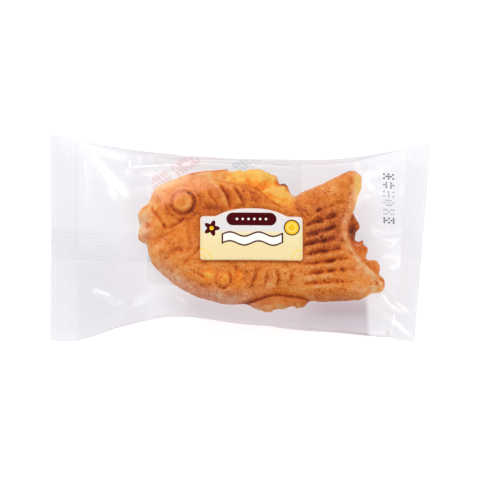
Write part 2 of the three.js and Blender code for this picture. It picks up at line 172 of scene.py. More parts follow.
SCALES = [  # right edges of the scales, top to bottom, and how high each stands
    ([(-18.4, 23.0), (-15.9, 18.3), (-13.4, 15.1), (-12.2, 10.2)], 1.0),
    ([(-12.4, 26.0), (-8.6, 20.0), (-6.8, 15.7), (-6.2, 10.4)], 1.6),
    ([(-5.4, 25.6), (-1.3, 19.0), (0.4, 15.4), (1.2, 10.2)], 1.3),
    ([(3.4, 22.6), (6.2, 17.6), (8.0, 14.2), (8.8, 9.8)], 0.8),
    ([(-3.8, -17.4), (-2.7, -22.7), (-3.9, -27.4)], 0.7),
    ([(7.8, -17.2), (7.0, -22.7), (5.4, -27.1), (2.6, -31.0)], 1.0),
    ([(13.2, -18.0), (12.9, -22.7), (12.0, -27.1), (9.8, -31.0)], 0.7),
    ([(15.2, -17.4), (17.8, -20.4), (18.8, -24.6), (17.6, -28.6), (14.6, -32)], 1.2),
    ([(26.2, -18.0), (25.8, -22.7), (24.4, -28.0)], 0.8),
]
PADS = [  # height, centre, half sizes
    (0.7, -48.5, 10.4, 6.0, 5.4), (0.7, -48.4, 0.2, 6.4, 5.2), (0.9, -39.5, -8.6, 7.0, 5.6),
    (0.5, -34, -2, 7, 5), (0.7, -29, -13.2, 6.5, 3.6), (0.5, -40.5, 14.6, 6, 8),
    (0.8, -15.8, -22.8, 4.4, 4.0), (0.5, -1.4, -24, 3.4, 4.6), (0.5, 21.6, -22.6, 3, 6),
    (0.5, 29.5, -24, 4, 5.5), (1.6, 12.0, 30.2, 4.4, 3.0), (0.9, 10.6, 27.4, 3.0, 2.2),
    (1.4, 16.2, 22.6, 5.0, 2.6), (1.0, -1.0, 31.0, 5.0, 2.4), (1.1, 4.0, 31.6, 3.4, 2.4),
    (1.2, 17.6, 28.6, 2.8, 3.0), (1.2, 22.6, 24.0, 3.0, 2.4), (0.7, 5.5, 24.4, 3.0, 1.8)]
BODY_MIDDLE = (8, -6)

x, y = np.meshgrid(np.arange(-57, 79, CELL), np.arange(-43, 39, CELL), indexing="ij")
inset = depth_inside(curve_through(LIPS + BACK + TAIL + BELLY, closed=True), x, y)
inset = inset + 0.35 * mottle(x, y, 7, 12) + 0.12 * mottle(x, y, 1.8, 19, 2)
spill = inset + 0.3 + 0.5 * mottle(x, y, 4, 13)
torn = 0.6 * mottle(x, y, 3.0, 11) + 0.35 * mottle(x, y, 1.5, 14, 2)
torn = torn + 0.8 * mottle(x, y, 2.6, 24, 2) * ease(x, 9, 14) * (y > 15)
for rim in (BACK_FLASH, TAIL_FLASH, BELLY_FLASH):
    edge = curve_through(rim, 5)
    inner = edge[[-1, 0]] * 0.7 + np.array(BODY_MIDDLE) * 0.3
    spill = np.maximum(spill, depth_inside(np.vstack([edge, inner]), x, y) + torn)

ridge = curve_through(RIDGE)
over_ridge = y - np.interp(x, ridge[:, 0], ridge[:, 1])
margin = curve_through(MARGIN)


def spot(cx, cy, rx, ry):
    """1 at the centre of an ellipse, falling smoothly to 0 at its edge."""
    return hump(np.hypot((x - cx) / rx, (y - cy) / ry), 1.0)


def patches(table):
    """Sum of spots, each times its own strength."""
    return sum(strength * spot(*ellipse) for strength, *ellipse in table)


def eye_relief():
    """A raised disc with a half ball on it, a groove between them and another round the disc."""
    r = np.hypot(x - EYE[0], y - EYE[1])
    return (0.7 * (1 - ease(r, 7.2, 8.6)) - 0.7 * hump(np.abs(r - 6.3), 2.0)
            + 1.3 * np.sqrt(np.clip(1 - (r / 5.1) ** 2, 0, 1)) - 0.4 * hump(np.abs(r - 8.9), 1.2))


def fin_relief():
    """Rays that fan out from the fin's root: grooves at whole steps of the angle, over a raised field."""
    angle = np.degrees(np.arctan2(y - FIN_ROOT[1], x - FIN_ROOT[0])) + 3 * mottle(x, y, 6, 4, 2)
    reach = np.hypot(x - FIN_ROOT[0], y - FIN_ROOT[1])
    ray = (4 - angle) / 72 * 6.5
    on_fin = (ease(ray, -0.3, 0.1) * (1 - ease(ray, 6.3, 6.7)) * ease(reach, 5, 10)
              * (1 - ease(reach, 18.5, 22.5)))
    off_ray = np.abs(ray - np.round(ray))
    return on_fin * (0.4 - 0.8 * hump(off_ray, 0.42) * (0.8 + 0.5 * mottle(x, y, 4, 6, 2)))


def tail_relief():
    """Ribs along the tail: a raised field with broken grooves, which spread from the body to the margin."""
    t = np.clip((x - 33.2) / 18.6, 0, 1)
    rib = (8.6 + 7.3 * t - y) / (5.04 + 0.9 * t) + 0.11 * mottle(x, y, 8, 5, 2) + 0.04 * mottle(x, y, 2.4, 15)
    number = np.round(rib)
    start = 32.6 + 2.8 * mottle(number * 7.3, number * 0 + 3, 5, 8, 1) + 5 * (1 - ease(rib, 0, 1.2))
    past = depth_inside(np.vstack([margin, [(90, -33), (90, 34)]]), x, y)
    on_tail = ease(x, start - 1.4, start + 2.6) * ease(-past, 2.6, 6.5) * ease(rib, -0.8, -0.2)
    on_tail = on_tail * (1 - ease(rib, 7.35, 7.7))
    broken = 0.95 + 0.5 * mottle(x, number * 5, 3.2, 9, 2) - 0.3 * ease(y, 4, 14)
    return on_tail * (0.6 - 1.9 * np.clip(broken, 0.3, 1.4) * hump(np.abs(rib - number), 0.42))


def knob_relief():
    """A parabolic button with a groove round it, deeper on its lower right."""
    k = np.hypot((x - KNOB[0]) / 3.5, (y - KNOB[1]) / 3.7)
    return (1.3 * np.clip(1 - k**2, 0, 1) - 0.9 * hump(np.abs(k - 1.15), 0.4) * ease(x - y, 14, 18.5)
            - 0.2 * hump(np.abs(k - 1.15), 0.3))


def scale_relief():
    """Scales: each rises from the left to a sharp right edge, with a groove beyond it."""
    scales = 0
    for points, height in SCALES:
        line = np.array(points)[::-1]
        left = np.interp(y, line[:, 1], line[:, 0]) - x + 0.3 * mottle(x, y, 3, 16)
        between = ease(y, line[0, 1], line[0, 1] + 3) * (1 - ease(y, line[-1, 1] - 3, line[-1, 1]))
        raised = 0.8 * ease(left, -0.6, 0.5) * (1 - ease(left, 0.5, 6.0))
        scales = scales + height * between * (raised - 0.65 * hump(np.abs(left + 0.8), 1.7))
    return scales


def engraved_lines():
    """The mould's drawn lines: each a groove along a slightly wandering curve. Where two meet, the deeper
    one counts."""
    wander = x + 0.6 * mottle(x, y, 4, 17, 2)
    cuts = [-depth * hump(distance_to(curve_through(points), wander, y), 1.3 * half)
            for points, half, depth in GROOVES]
    return np.min(cuts, 0) * (0.95 + 0.5 * mottle(x, y, 4, 18, 2))


def crust_pits(count, seed):
    """Small round holes where bubbles burst: each a paraboloid dent, laid on the cells near its centre."""
    rng = np.random.default_rng(seed)
    pits = np.zeros(x.shape)
    spots = rng.uniform([-50, -36], [72, 33], (count * 3, 2))
    likely = np.where(spots[:, 0] > 25, 1.0, np.where(spots[:, 1] < -10, 0.7, 0.3))
    spots = spots[rng.uniform(0, 1, len(spots)) < likely][:count]
    for (px, py), radius in zip(spots, rng.uniform(0.4, 0.75, len(spots))):
        i, j = int((px - x[0, 0]) / CELL), int((py - y[0, 0]) / CELL)
        cells = (slice(max(i - 3, 0), i + 4), slice(max(j - 3, 0), j + 4))
        r = np.hypot(x[cells] - px, y[cells] - py) / radius
        pits[cells] = np.maximum(pits[cells], 0.75 * radius * np.clip(1 - r**2, 0, 1))
    return pits


def dome_height():
    """Rise over the seam: a rounded wall up to a nearly flat top, lower at tail, lips and above the ridge."""
    full = 12.6 - 3.2 * ease(x, 20, 42) - 4.2 * (1 - ease(x, -54, -40)) - 0.6 * (1 - ease(x, -34, -18))
    wall = (1 - (1 - np.clip(inset / 13, 0, 1)) ** 2.5) ** 0.56
    drop = 2.2 * ease(over_ridge, -1.2, 2.4) * (1 - ease(x, 24, 34)) * ease(x, -20, -6)
    return full * wall - drop * ease(inset, 0, 5)


# The sticker lies on the film over the cake, so film and cake are flat under it: its middle and sizes, and
# the field of film that it holds flat.
STICKER = dict(x=5.65, y=-3.9, length=53.0, width=23.0, arch=4.2, arch_half=18.5, corner=1.6, thickness=0.35)
FLAT_HALF, FLAT_LOW, FLAT_HIGH = 26.5, -15.4, 10.5
PRESSED = (-2.0, 13.4)  # middle and half size along Y of the cake's own flat field


def sticker_bed(px, py):
    """Height of the film under the sticker: a shallow crown."""
    return 28.5 - 0.0016 * (px + 6) ** 2 - 0.0018 * (py + 2) ** 2


# rough: how loose the batter is behind the ridge. sand: how grainy the crust is. belly_plate: the belly's
# thick plate of flash.
rough = ease(over_ridge, 0.3, 2.6) * (1 - ease(x, 25, 30)) * ease(spill, -1, 1)
rough = rough * ease(x + 2.5 * mottle(x, y, 5, 57), -9, -2)
sand = np.clip(0.35 + 0.3 * rough + 0.75 * ease(x, 16, 34) + 0.7 * ease(-y, 8, 22)
               - 0.4 * (1 - ease(x, -50, -36)), 0, 1)
belly_plate = ease(-y, 26, 31) * ease(x, -4, 3) * (1 - ease(x, 33, 38))

ridge_cut = -0.8 * hump(distance_to(ridge, x, y), 1.4) * ease(x, -20, -8)
relief = (eye_relief() + fin_relief() + tail_relief() + ridge_cut + knob_relief() + scale_relief()
          + patches(PADS) + engraved_lines())
relief = 1.1 * blurred(relief, 1) + 0.32 * mottle(x, y, 11, 21) + 0.24 * mottle(x, y, 3.6, 22)
relief = relief + rough * (0.9 * mottle(x, y, 5.2, 31) + 0.7 * np.abs(mottle(x, y, 3.0, 32)))
relief = relief + sand * 0.22 * mottle(x, y, 5.0, 34, 2)
crumbs = sand * 0.24 * mottle(x, y, 1.9, 33, 2) * ease(spill, 0, 1)
pits = crust_pits(420, 41) * ease(inset, 1, 3)

flash = (1.5 + 1.6 * belly_plate) * np.sqrt(1 - (1 - np.clip(spill / 1.8, 0, 1)) ** 2)
flash = flash + 0.6 * mottle(x, y, 2.6, 23) * ease(spill, 0, 2)
flash = flash - 1.2 * hump(np.abs(inset + 0.5), 1.0) * belly_plate
loose = rough * (6.4 + 2.2 * mottle(x, y, 6.5, 35) + relief)
flash = np.maximum(flash, loose * np.sqrt(1 - (1 - np.clip(spill / 4.5, 0, 1)) ** 2))
body = (dome_height() + relief * ease(inset, 0.6, 4.5) - pits) * (inset > 0)
upper = np.maximum(flash, body) + crumbs

# The film under the sticker lies 1.2 mm over the cake, and the cake may rise 2.4 mm further beside it.
off_sticker = np.hypot(np.maximum(np.abs(x - STICKER["x"]) - FLAT_HALF, 0),
                       np.maximum(np.abs(y - PRESSED[0]) - PRESSED[1], 0))
press = 1 - ease(off_sticker, 0, 7)
upper = np.where(inset > 3, np.minimum(upper, sticker_bed(x, y) - 1.2 - SEAM + 2.4 * (1 - press)), upper)
lower = upper * 12.3 / 14.0
cavity = blurred(upper, 16) - upper


def fish_mesh():
    """Two height fields over the plan, upper and lower, that share their points along the flash's rim.

    Cells with all four corners inside the spill are kept, and the rim's points slide along the
    steepest way to where the spill is 0."""
    inside = spill > 0
    cells = inside[:-1, :-1] & inside[1:, :-1] & inside[:-1, 1:] & inside[1:, 1:]
    used = np.zeros(inside.shape, int)
    for di in (0, 1):
        for dj in (0, 1):
            used[di:di + cells.shape[0], dj:dj + cells.shape[1]] += cells
    core, rim, shown = used == 4, (used > 0) & (used < 4), used > 0
    gx, gy = np.gradient(blurred(spill, 2), CELL)
    pull = np.clip(spill / np.maximum(gx**2 + gy**2, 0.3), 0, 0.8) * rim
    px, py = x - pull * gx, y - pull * gy
    warp = 0.7 * mottle(x, y, 16, 25, 2) * ease(-inset, -2, 3)
    top_z = np.where(rim, SEAM + warp, SEAM + upper + warp)
    low_z = np.maximum(SEAM - lower + warp, LOWEST_CAKE)
    top_id = np.full(inside.shape, -1)
    top_id[shown] = np.arange(shown.sum())
    low_id = top_id.copy()
    low_id[core] = shown.sum() + np.arange(core.sum())
    points = np.vstack([np.stack([px, py, top_z], -1)[shown], np.stack([px, py, low_z], -1)[core]])
    i, j = np.nonzero(cells)
    faces = [np.stack([ids[i, j], ids[i + 1, j], ids[i + 1, j + 1], ids[i, j + 1]], -1)[:, ::turn]
             for ids, turn in ((top_id, 1), (low_id, -1))]
    return points, np.vstack(faces), shown, core


def new_piece(name, points, faces, finish):
    """A smooth mesh at the origin from points in millimetres and one or more arrays of faces."""
    mesh = bpy.data.meshes.new(name)
    faces = faces if isinstance(faces, list) else [faces]
    corners = np.concatenate([np.full(len(block), block.shape[1]) for block in faces])
    mesh.vertices.add(len(points))
    mesh.vertices.foreach_set("co", (np.asarray(points) / 1000).astype(np.float32).ravel())
    mesh.loops.add(int(corners.sum()))
    indices = np.concatenate([block.ravel() for block in faces])
    mesh.loops.foreach_set("vertex_index", indices.astype(np.int32))
    mesh.polygons.add(len(corners))
    mesh.polygons.foreach_set("loop_start", (np.cumsum(corners) - corners).astype(np.int32))
    mesh.polygons.foreach_set("use_smooth", np.ones(len(corners), bool))
    mesh.update(calc_edges=True)
    mesh.validate()
    mesh.materials.append(finish)
    piece = bpy.data.objects.new(name, mesh)
    bpy.context.scene.collection.objects.link(piece)
    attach(piece, "root")
    return piece


def paint(piece, name, values):
    """A number for each point of the mesh, which the piece's material reads by name."""
    layer = piece.data.attributes.new(name, "FLOAT", "POINT")
    layer.data.foreach_set("value", np.asarray(values, np.float32))


class Wire:
    """A shader socket. + - * and / on wires and numbers add Math nodes, and make() adds any other node."""

    def __init__(self, tree, socket=None):
        self.tree, self.socket = tree, socket

    def make(self, kind, settings=(), output=0, **inputs):
        """Adds a node: its settings first, then its sockets, each a value, a wire, or _0, _1 by number."""
        node = self.tree.nodes.new("ShaderNode" + kind)
        for key, value in dict(settings).items():
            if key == "stops":
                ramp = node.color_ramp.elements
                while len(ramp) < len(value):
                    ramp.new(0.5)
                for stop, (place, colour) in zip(ramp, value):
                    stop.position, stop.color = place, (*colour, 1.0)
            else:
                setattr(node, key, value)
        for key, value in inputs.items():
            socket = node.inputs[int(key[1:])] if key[0] == "_" else node.inputs[key.replace("_", " ")]
            if isinstance(value, Wire):
                self.tree.links.new(value.socket, socket)
            elif socket.type == "RGBA" and len(value) == 3:
                socket.default_value = (*value, 1.0)
            else:
                socket.default_value = value
        return Wire(self.tree, node.outputs[output] if node.outputs else None)

    def painted(self, name):
        """The number that paint() laid on the mesh under this name."""
        return self.make("Attribute", {"attribute_name": name}, output=2)

    def maths(self, operation, *others):
        """One Math node."""
        return self.make("Math", {"operation": operation}, **{f"_{n}": v for n, v in enumerate(others)})

    __add__ = lambda self, other: self.maths("ADD", self, other)
    __radd__ = lambda self, other: self.maths("ADD", other, self)
    __sub__ = lambda self, other: self.maths("SUBTRACT", self, other)
    __rsub__ = lambda self, other: self.maths("SUBTRACT", other, self)
    __mul__ = lambda self, other: self.maths("MULTIPLY", self, other)
    __rmul__ = lambda self, other: self.maths("MULTIPLY", other, self)
    __truediv__ = lambda self, other: self.maths("DIVIDE", self, other)
    __rtruediv__ = lambda self, other: self.maths("DIVIDE", other, self)
    over = lambda self, other: self.maths("MAXIMUM", self, other)
    under = lambda self, other: self.maths("MINIMUM", self, other)

    def step(self, low, high):
        """0 at low, 1 at high, eased between."""
        return self.make("MapRange", {"interpolation_type": "SMOOTHSTEP"}, _0=self, _1=low, _2=high)

    def mix(self, first, second):
        """The first colour where this is 0, the second where it is 1."""
        return self.make("Mix", {"data_type": "RGBA"}, output=2, _0=self, _6=first, _7=second)


def new_finish(name):
    """An empty material and a wire to build it with."""
    material = bpy.data.materials.new(name)
    material.use_nodes = True
    material.node_tree.nodes.clear()
    return material, Wire(material.node_tree)


def srgb(red, green, blue):
    """A colour as a paint chart gives it, 0 to 255, as linear light."""
    c = np.array([red, green, blue]) / 255
    return tuple(float(v) for v in np.where(c < 0.04045, c / 12.92, ((c + 0.055) / 1.055) ** 2.4))


def crust_finish():
    """Baked batter: colour runs from pale peach over orange to dark brown with the bake, yellow where it is
    eggy, rosy as painted shade near the belly's outline and on the tail's ridges, and rosy on the lips, along
    the tail's margin and in patches; speckled by fine pores, darkened in them as painted shade; matte and
    faintly greasy. The eggy parts
    glow faintly: painted light, which brightens them."""
    material, w = new_finish("baked_crust")
    place = w.make("TexCoord", output=3)
    bake, yolk, blush, sand = (w.painted(name) for name in ("bake", "yolk", "blush", "sand"))
    broad = w.make("TexNoise", Vector=place, Scale=260.0, Detail=4.0, Roughness=0.6)
    fine = w.make("TexNoise", Vector=place, Scale=1000.0, Detail=3.0, Roughness=0.65)
    pores = w.make("TexVoronoi", Vector=place, Scale=760.0, Randomness=1.0)
    specks = (1 - pores.step(0.08, 0.45)) * broad.step(0.45, 0.62)
    # The pores are darkened as painted shade.
    depth = bake + (broad - 0.5) * 0.48 + (fine - 0.5) * (sand * 0.48 + 0.36) + specks * 0.18
    brown = w.make("ValToRGB", {"stops": [
        (0.05, srgb(255, 202, 132)), (0.2, srgb(255, 172, 86)), (0.38, srgb(249, 142, 45)),
        (0.55, srgb(224, 110, 25)), (0.75, srgb(174, 70, 12)), (1.0, srgb(100, 32, 9))]}, Fac=depth)
    egg = w.make("ValToRGB", {"stops": [
        (0.05, srgb(255, 203, 98)), (0.2, srgb(255, 179, 64)), (0.42, srgb(255, 142, 22)),
        (0.7, srgb(226, 94, 12)), (1.0, srgb(120, 44, 12))]}, Fac=depth)
    skin = w.make("ValToRGB", {"stops": [
        (0.05, srgb(255, 210, 166)), (0.3, srgb(246, 158, 108)), (0.5, srgb(216, 120, 82)),
        (0.75, srgb(160, 70, 42)), (1.0, srgb(90, 34, 20))]}, Fac=depth)
    colour = (yolk + (broad - 0.5) * 1.3 * yolk.step(0.02, 0.4)).step(0.1, 0.9).mix(brown, egg)
    # Rosy tone, partly painted shade.
    colour = blush.mix(colour, skin)
    height = fine * (sand * 0.9 + 0.35) + broad * 0.8 - specks * 0.6
    bump = w.make("Bump", Strength=0.7, Distance=0.0007, Height=height)
    # Painted light: a faint glow on the eggy parts, which brightens them.
    painted_glow = yolk.mix((0.0, 0.0, 0.0), (1.0, 0.4, 0.04))
    surface = w.make("BsdfPrincipled", Base_Color=colour, Roughness=0.66 - 0.12 * fine, Normal=bump,
                     Specular_IOR_Level=0.3, Emission_Color=painted_glow, Emission_Strength=0.1)
    w.make("OutputMaterial", Surface=surface)
    return material


# Where the crust is baked more or less, eggy, or rosy (the rosy partly painted shade): strength, centre, half
# sizes.
BAKED = [
    (0.10, -18, 8, 13, 15), (-0.27, -35, 27, 20, 10), (-0.28, -52, 4, 10, 18), (-0.08, 48, 24, 15, 10),
    (0.22, 43, -1, 15, 19), (0.04, -12, -24, 9, 7), (0.08, 8, -24, 24, 10), (-0.05, 52, -26, 24, 10),
    (-0.14, 66, -24, 12, 14), (0.03, -25, -34, 22, 10), (-0.06, 15, -38, 20, 5), (-0.06, -38, -8, 10, 10),
    (-0.38, -46.2, 14.4, 4, 6), (-0.10, -42.5, 22, 6, 6), (-0.25, -14, 28.5, 12, 7),
    (0.24, -50.5, -1.5, 6, 5), (0.18, -48.4, 3.6, 4.5, 3), (0.12, -10.5, -24.6, 4, 4),
    (0.16, -12, 12.4, 10, 2.6), (0.14, 4.2, 28.1, 4, 3), (0.14, 9.5, 24.7, 4, 2.4), (0.16, 18, 18.7, 4, 2.4),
    (-0.16, 12.7, 30, 3, 3), (-0.14, 15.6, 22.4, 4, 2.4), (-0.14, -1, 31.4, 5, 3), (-0.30, 61.6, 24, 5, 15),
    (0.45, 34, -36.4, 4.5, 2.6)]
EGGY = [
    (1.3, -15.8, -23.2, 6.5, 5.4), (0.9, -8.8, -24.6, 6, 6), (1.0, -1.4, -24, 4.6, 7), (1.0, 61.8, 25, 5, 17),
    (0.35, -36.5, 17.5, 3, 5), (0.4, -30, -2, 14, 10)]
ROSY_TONE_AND_SHADE = [(0.8, -51, 3, 8, 14), (0.35, 41, -2, 12, 14), (0.4, -25, 30, 12, 6), (0.5, -43.5, 19.5, 6, 8)]

off_margin = np.where(x > 40, distance_to(margin, x, y), 9.0)


def bake_of_crust():
    """How far each point is baked, 0 to 1: its region's own depth, darker on the thin flash, paler along the
    tail's rim, with blotches of three sizes. It also carries painted shade, darker in hollows, in pits, in
    the eye's ring groove and in the crease over the belly's flash, and painted light, paler on raised parts."""
    r = np.hypot(x - EYE[0], y - EYE[1])
    shaded_low_right = 0.5 + 0.5 * np.cos(np.arctan2(y - EYE[1], x - EYE[0]) + 0.6)
    bake = 0.435 + patches(BAKED)
    # The eye's disc is paler. Its ring groove is darker as painted shade, most on its lower right.
    bake = bake - 0.12 * (1 - ease(r, 3.8, 5.0)) + (0.10 + 0.24 * shaded_low_right) * hump(np.abs(r - 6.3), 2.0)
    bake = bake + 0.3 * hump(np.abs(inset - 1.2), 0.9) * (y > 24) * ease(x, -31, -25) * (1 - ease(x, -9, -5))
    # Painted shade in hollows, and painted light on raised parts.
    bake = bake + 0.36 * np.clip(cavity, 0, 1.2) * ease(inset, 1, 4) - 0.24 * np.clip(-cavity, 0, 0.8)
    # Painted shade in the pits.
    bake = bake + 0.3 * pits
    bake = bake - 0.19 * hump(np.abs(off_margin - 0.4), 1.8) * (inset > -0.5) * (1 - ease(y, 12, 17))
    thin = ease(-inset, -0.4, 0.8)
    bake = bake + thin * (x > 50) * (0.18 + 0.30 * spot(58.8, 1.5, 4.4, 8.5) - 0.24 * ease(-y, 6, 14))
    bake = bake + thin * (y > 15) * (0.26 * ease(x, 12, 20) - 0.05)
    bake = bake + 0.5 * ease(x, 9, 17) * (1 - ease(x, 30, 32)) * ease(y, 19, 23) * ease(-spill, -3.0, -0.6)
    # Painted shade in the crease over the belly's flash.
    bake = bake + 0.36 * hump(np.abs(inset + 0.3), 1.0) * belly_plate
    bake = bake - 0.16 * (1 - ease(spill, 0.3, 2.0)) * (1 - rough) * (1 - belly_plate) * (thin < 0.5)
    bake = bake - 0.07 * ease(-y, 4, 20) * ease(inset, 0, 3) - 0.08 * belly_plate * (inset < -0.5)
    return (bake + 0.02 * ease(x, 10, 40) + 0.09 * mottle(x, y, 14, 51) + 0.10 * mottle(x, y, 4.2, 52)
            + 0.07 * mottle(x, y, 1.5, 53))


points, faces, shown, core = fish_mesh()
cake = new_piece("cake", points, faces, crust_finish())
eggy = rough * ease(mottle(x, y, 6, 54), -0.75, 0.1)
yolk = np.clip(1.3 * eggy + patches(EGGY) + 0.35 * belly_plate, 0, 1)
bake = bake_of_crust() + (0.5 * mottle(x, y, 5.0, 55) - 0.29) * rough - 0.06 * yolk
# Rosy tone: near the belly's outline and on the tail's ridges it is painted shade, and on the lips, the
# tail's margin and in patches it is the crust's own colour.
blush = (1 - ease(inset, 1.5, 7.5)) * ease(-y, 8, 26) * (1 - ease(x, -6, 20)) + patches(ROSY_TONE_AND_SHADE)
blush = blush + 0.15 * belly_plate * ease(-inset, -1, 1) + 0.2 * hump(off_margin, 4)
blush = np.clip(blush + 0.3 * ease(mottle(x, y, 9, 56), 0.1, 0.8), 0, 1) * (1 - rough)
for name, above, below in (("bake", bake, bake + 0.06 + 0.2 * rough), ("yolk", yolk, 0.3 * yolk),
                           ("blush", blush, blush), ("sand", sand, sand)):
    paint(cake, name, np.concatenate([above[shown], below[core]]))


# ---- The sachet ------------------------------------------------------------------------------------
# An oxygen-absorber packet of coated paper under the cake: thin, square, sealed all round, with a loose
# print of slanting strokes in pink and blue.
SACHET = dict(centre=(-8.6, 9.4), size=(79.5, 69.0), turn=-2.3)


def sachet_mesh():
    """A flat pillow: thickness follows the product of two rounded profiles, so it is thin at its seals."""
    u, v = np.meshgrid(np.linspace(-1, 1, 81), np.linspace(-1, 1, 71), indexing="ij")
    turn = np.radians(SACHET["turn"])
    a, b = u * SACHET["size"][0] / 2, v * SACHET["size"][1] / 2
    px = SACHET["centre"][0] + a * np.cos(turn) - b * np.sin(turn)
    py = SACHET["centre"][1] + a * np.sin(turn) + b * np.cos(turn)
    full = ease(1 - np.abs(u), 0.09, 0.5) * ease(1 - np.abs(v), 0.09, 0.5)
    ripple = 0.25 * mottle(px, py, 9, 61) * ease(1 - np.maximum(np.abs(u), np.abs(v)), -0.02, 0.1)
    middle = 1.1 + 0.2 * ripple
    top = np.stack([px, py, middle + 0.04 + 0.6 * full + ripple * (0.5 + full)], -1)
    low = np.stack([px, py, middle - 0.04 - 0.25 * full + 0.5 * ripple], -1)
    n, m = u.shape
    ids = np.arange(n * m).reshape(n, m)
    quads = lambda g: np.stack([g[:-1, :-1], g[1:, :-1], g[1:, 1:], g[:-1, 1:]], -1).reshape(-1, 4)
    rim = np.concatenate([ids[:-1, 0], ids[-1, :-1], ids[:0:-1, -1], ids[0, :0:-1]])
    wall = np.stack([rim, rim + n * m, np.roll(rim, -1) + n * m, np.roll(rim, -1)], -1)
    points = np.vstack([top.reshape(-1, 3), low.reshape(-1, 3)])
    faces = np.vstack([quads(ids), quads(ids + n * m)[:, ::-1], wall])
    return points, faces, np.tile(a.ravel(), 2), np.tile(b.ravel(), 2)


def sachet_finish():
    """Off-white coated paper with strokes in pale pink and blue. They stand 2.2 mm apart in rows that run
    at 35 degrees, two rows in every other lane of 8.4 mm, broken every 18 mm, and fade towards the lower
    right."""
    material, w = new_finish("printed_sachet")
    across, up = w.painted("across"), w.painted("up")
    lean = (0.819, 0.574)
    run = across * lean[0] + up * lean[1]
    off = up * lean[0] - across * lean[1]
    row = w.maths("FLOOR", off / 8.4)
    lane = w.maths("PINGPONG", off, 4.2)
    dash = w.maths("PINGPONG", run + off * 0.35 + row * 3.7, 1.1)
    band = (1 - w.maths("ABSOLUTE", lane - 2.3).step(1.3, 1.9)) * (1 - w.maths("PINGPONG", row, 1.0))
    band = band * w.maths("PINGPONG", run + row * 5.1 + 7.0, 9.0).step(1.2, 1.8)
    band = band * (across * -0.02 + up * 0.02 + 0.1).step(0.0, 0.9)
    stroke = band * (dash.step(0.4, 0.8) * 0.55 + 0.35)
    paper = w.make("TexNoise", Scale=300.0, Detail=3.0, Vector=w.make("TexCoord", output=3))
    ground = paper.mix(srgb(255, 251, 236), srgb(250, 243, 226))
    blue = w.maths("PINGPONG", row, 2.0).step(1.4, 1.6)
    ink = blue.mix(srgb(255, 84, 96), srgb(60, 205, 250))
    surface = w.make("BsdfPrincipled", Base_Color=(stroke * 0.8).mix(ground, ink), Roughness=0.45,
                     Alpha=0.07 + stroke * (0.13 + 0.17 * blue))
    w.make("OutputMaterial", Surface=surface)
    return material


points, faces, across, up = sachet_mesh()
sachet = new_piece("sachet", points, faces, sachet_finish())
paint(sachet, "across", across)
paint(sachet, "up", up)


# ---- The bag ---------------------------------------------------------------------------------------
# A tube of clear film, crimped flat at both ends and swollen by gas, so it stands off the cake, rests on
# its top, and creases from the corners of its seals. Its form is found by letting the film settle.
LEFT_END = dict(outer=-100.0, inner=-85.2, slant=-0.016)
RIGHT_END = dict(outer=96.0, inner=84.9, slant=0.094)
BACK_EDGE = np.array([(-101, 55.5), (-60, 47.6), (-22, 42.4), (20, 40.6), (54, 41.9), (84, 48.1), (101, 52)])
FRONT_EDGE = np.array([(-101, -54.8), (-84, -54.6), (-62, -46.8), (-34, -41.4), (0, -45), (60, -52),
                       (101, -55.6)])
SEAL_HEIGHT = 9.0
CREASES = [  # line, half width at its start and end, height, and how strong the painted highlight along it is: the film clearer and more mirroring
    ([(-83, 48), (-71, 32), (-58, 13)], 1.5, 8.0, 1.8, 0.8),
    ([(-82.6, 44), (-81.4, 26), (-81.8, 10)], 1.2, 2.6, 0.7, 0.6),
    ([(-57.0, 42), (-58.6, 36), (-58.6, 29)], 2.6, 1.2, 0.9, 0.8),
    ([(-54.0, 43), (-51.8, 39)], 2.0, 0.8, 0.7, 0.5),
    ([(-80, -27), (-72, -31.2), (-61, -37)], 1.0, 4.4, 1.0, 0.55),
    ([(-34, -33.6), (-26, -36.8)], 1.8, 1.0, 0.7, 0.8),
    ([(-76, -47.6), (-63, -40.4), (-52.5, -37.6), (-34, -38)], 3, 1.5, 0.6, 0.2),
    ([(66, -32), (72.5, -38.5), (78, -43), (84, -48), (90, -53), (94, -56)], 3.4, 1.6, 0.9, 1.0),
    ([(70, -31), (78, -37), (90, -41)], 4.0, 1.8, 0.6, 0.9),
    ([(80, -33), (90, -42)], 1.5, 1.5, 0.4, 0.9),
    ([(60, 43), (65, 30), (66, 18)], 2.0, 6.0, 0.8, 0.4),
    ([(66, 4), (74, -2), (84, -4)], 3.0, 5.0, 0.9, 0.4),
    ([(-64, 34.5), (-44, 36.3), (-33, 36.6), (-20.8, 38.4), (-9, 37.6), (8, 36.4)], 2.0, 1.6, 0.8, 1.0),
    ([(-24, 38.6), (-9.2, 37.6), (2, 38), (12, 36.4), (22.7, 35.6), (44, 33)], 2.0, 1.6, 0.8, 1.0)]
TUBE_LENGTH = 175.0  # of the film between the seals, a little more than the way from one to the other
TUBE_GIRTH = 216.0
GAS, WEIGHT = 0.0010, 0.0015  # how far each moves the film in a round
LOWEST_FILM = 0.35


def crease_at(line, start, end, px, py):
    """1 along a line, easing to 0 towards both its ends and at a half width that runs evenly from the
    one at its start to the one at its end."""
    line = curve_through(line)
    reach = np.r_[0, np.cumsum(np.hypot(*np.diff(line, axis=0).T))]
    best, along = np.full(px.shape, 1e9), np.zeros(px.shape)
    for (ax, ay), (bx, by), first, last in zip(line[:-1], line[1:], reach[:-1], reach[1:]):
        t = np.clip(((px - ax) * (bx - ax) + (py - ay) * (by - ay)) / max((last - first) ** 2, 1e-9), 0, 1)
        away = np.hypot(px - ax - t * (bx - ax), py - ay - t * (by - ay))
        along = np.where(away < best, (first + t * (last - first)) / reach[-1], along)
        best = np.minimum(best, away)
    return hump(best, start + (end - start) * along) * ease(along, 0, 0.25) * (1 - ease(along, 0.55, 1))


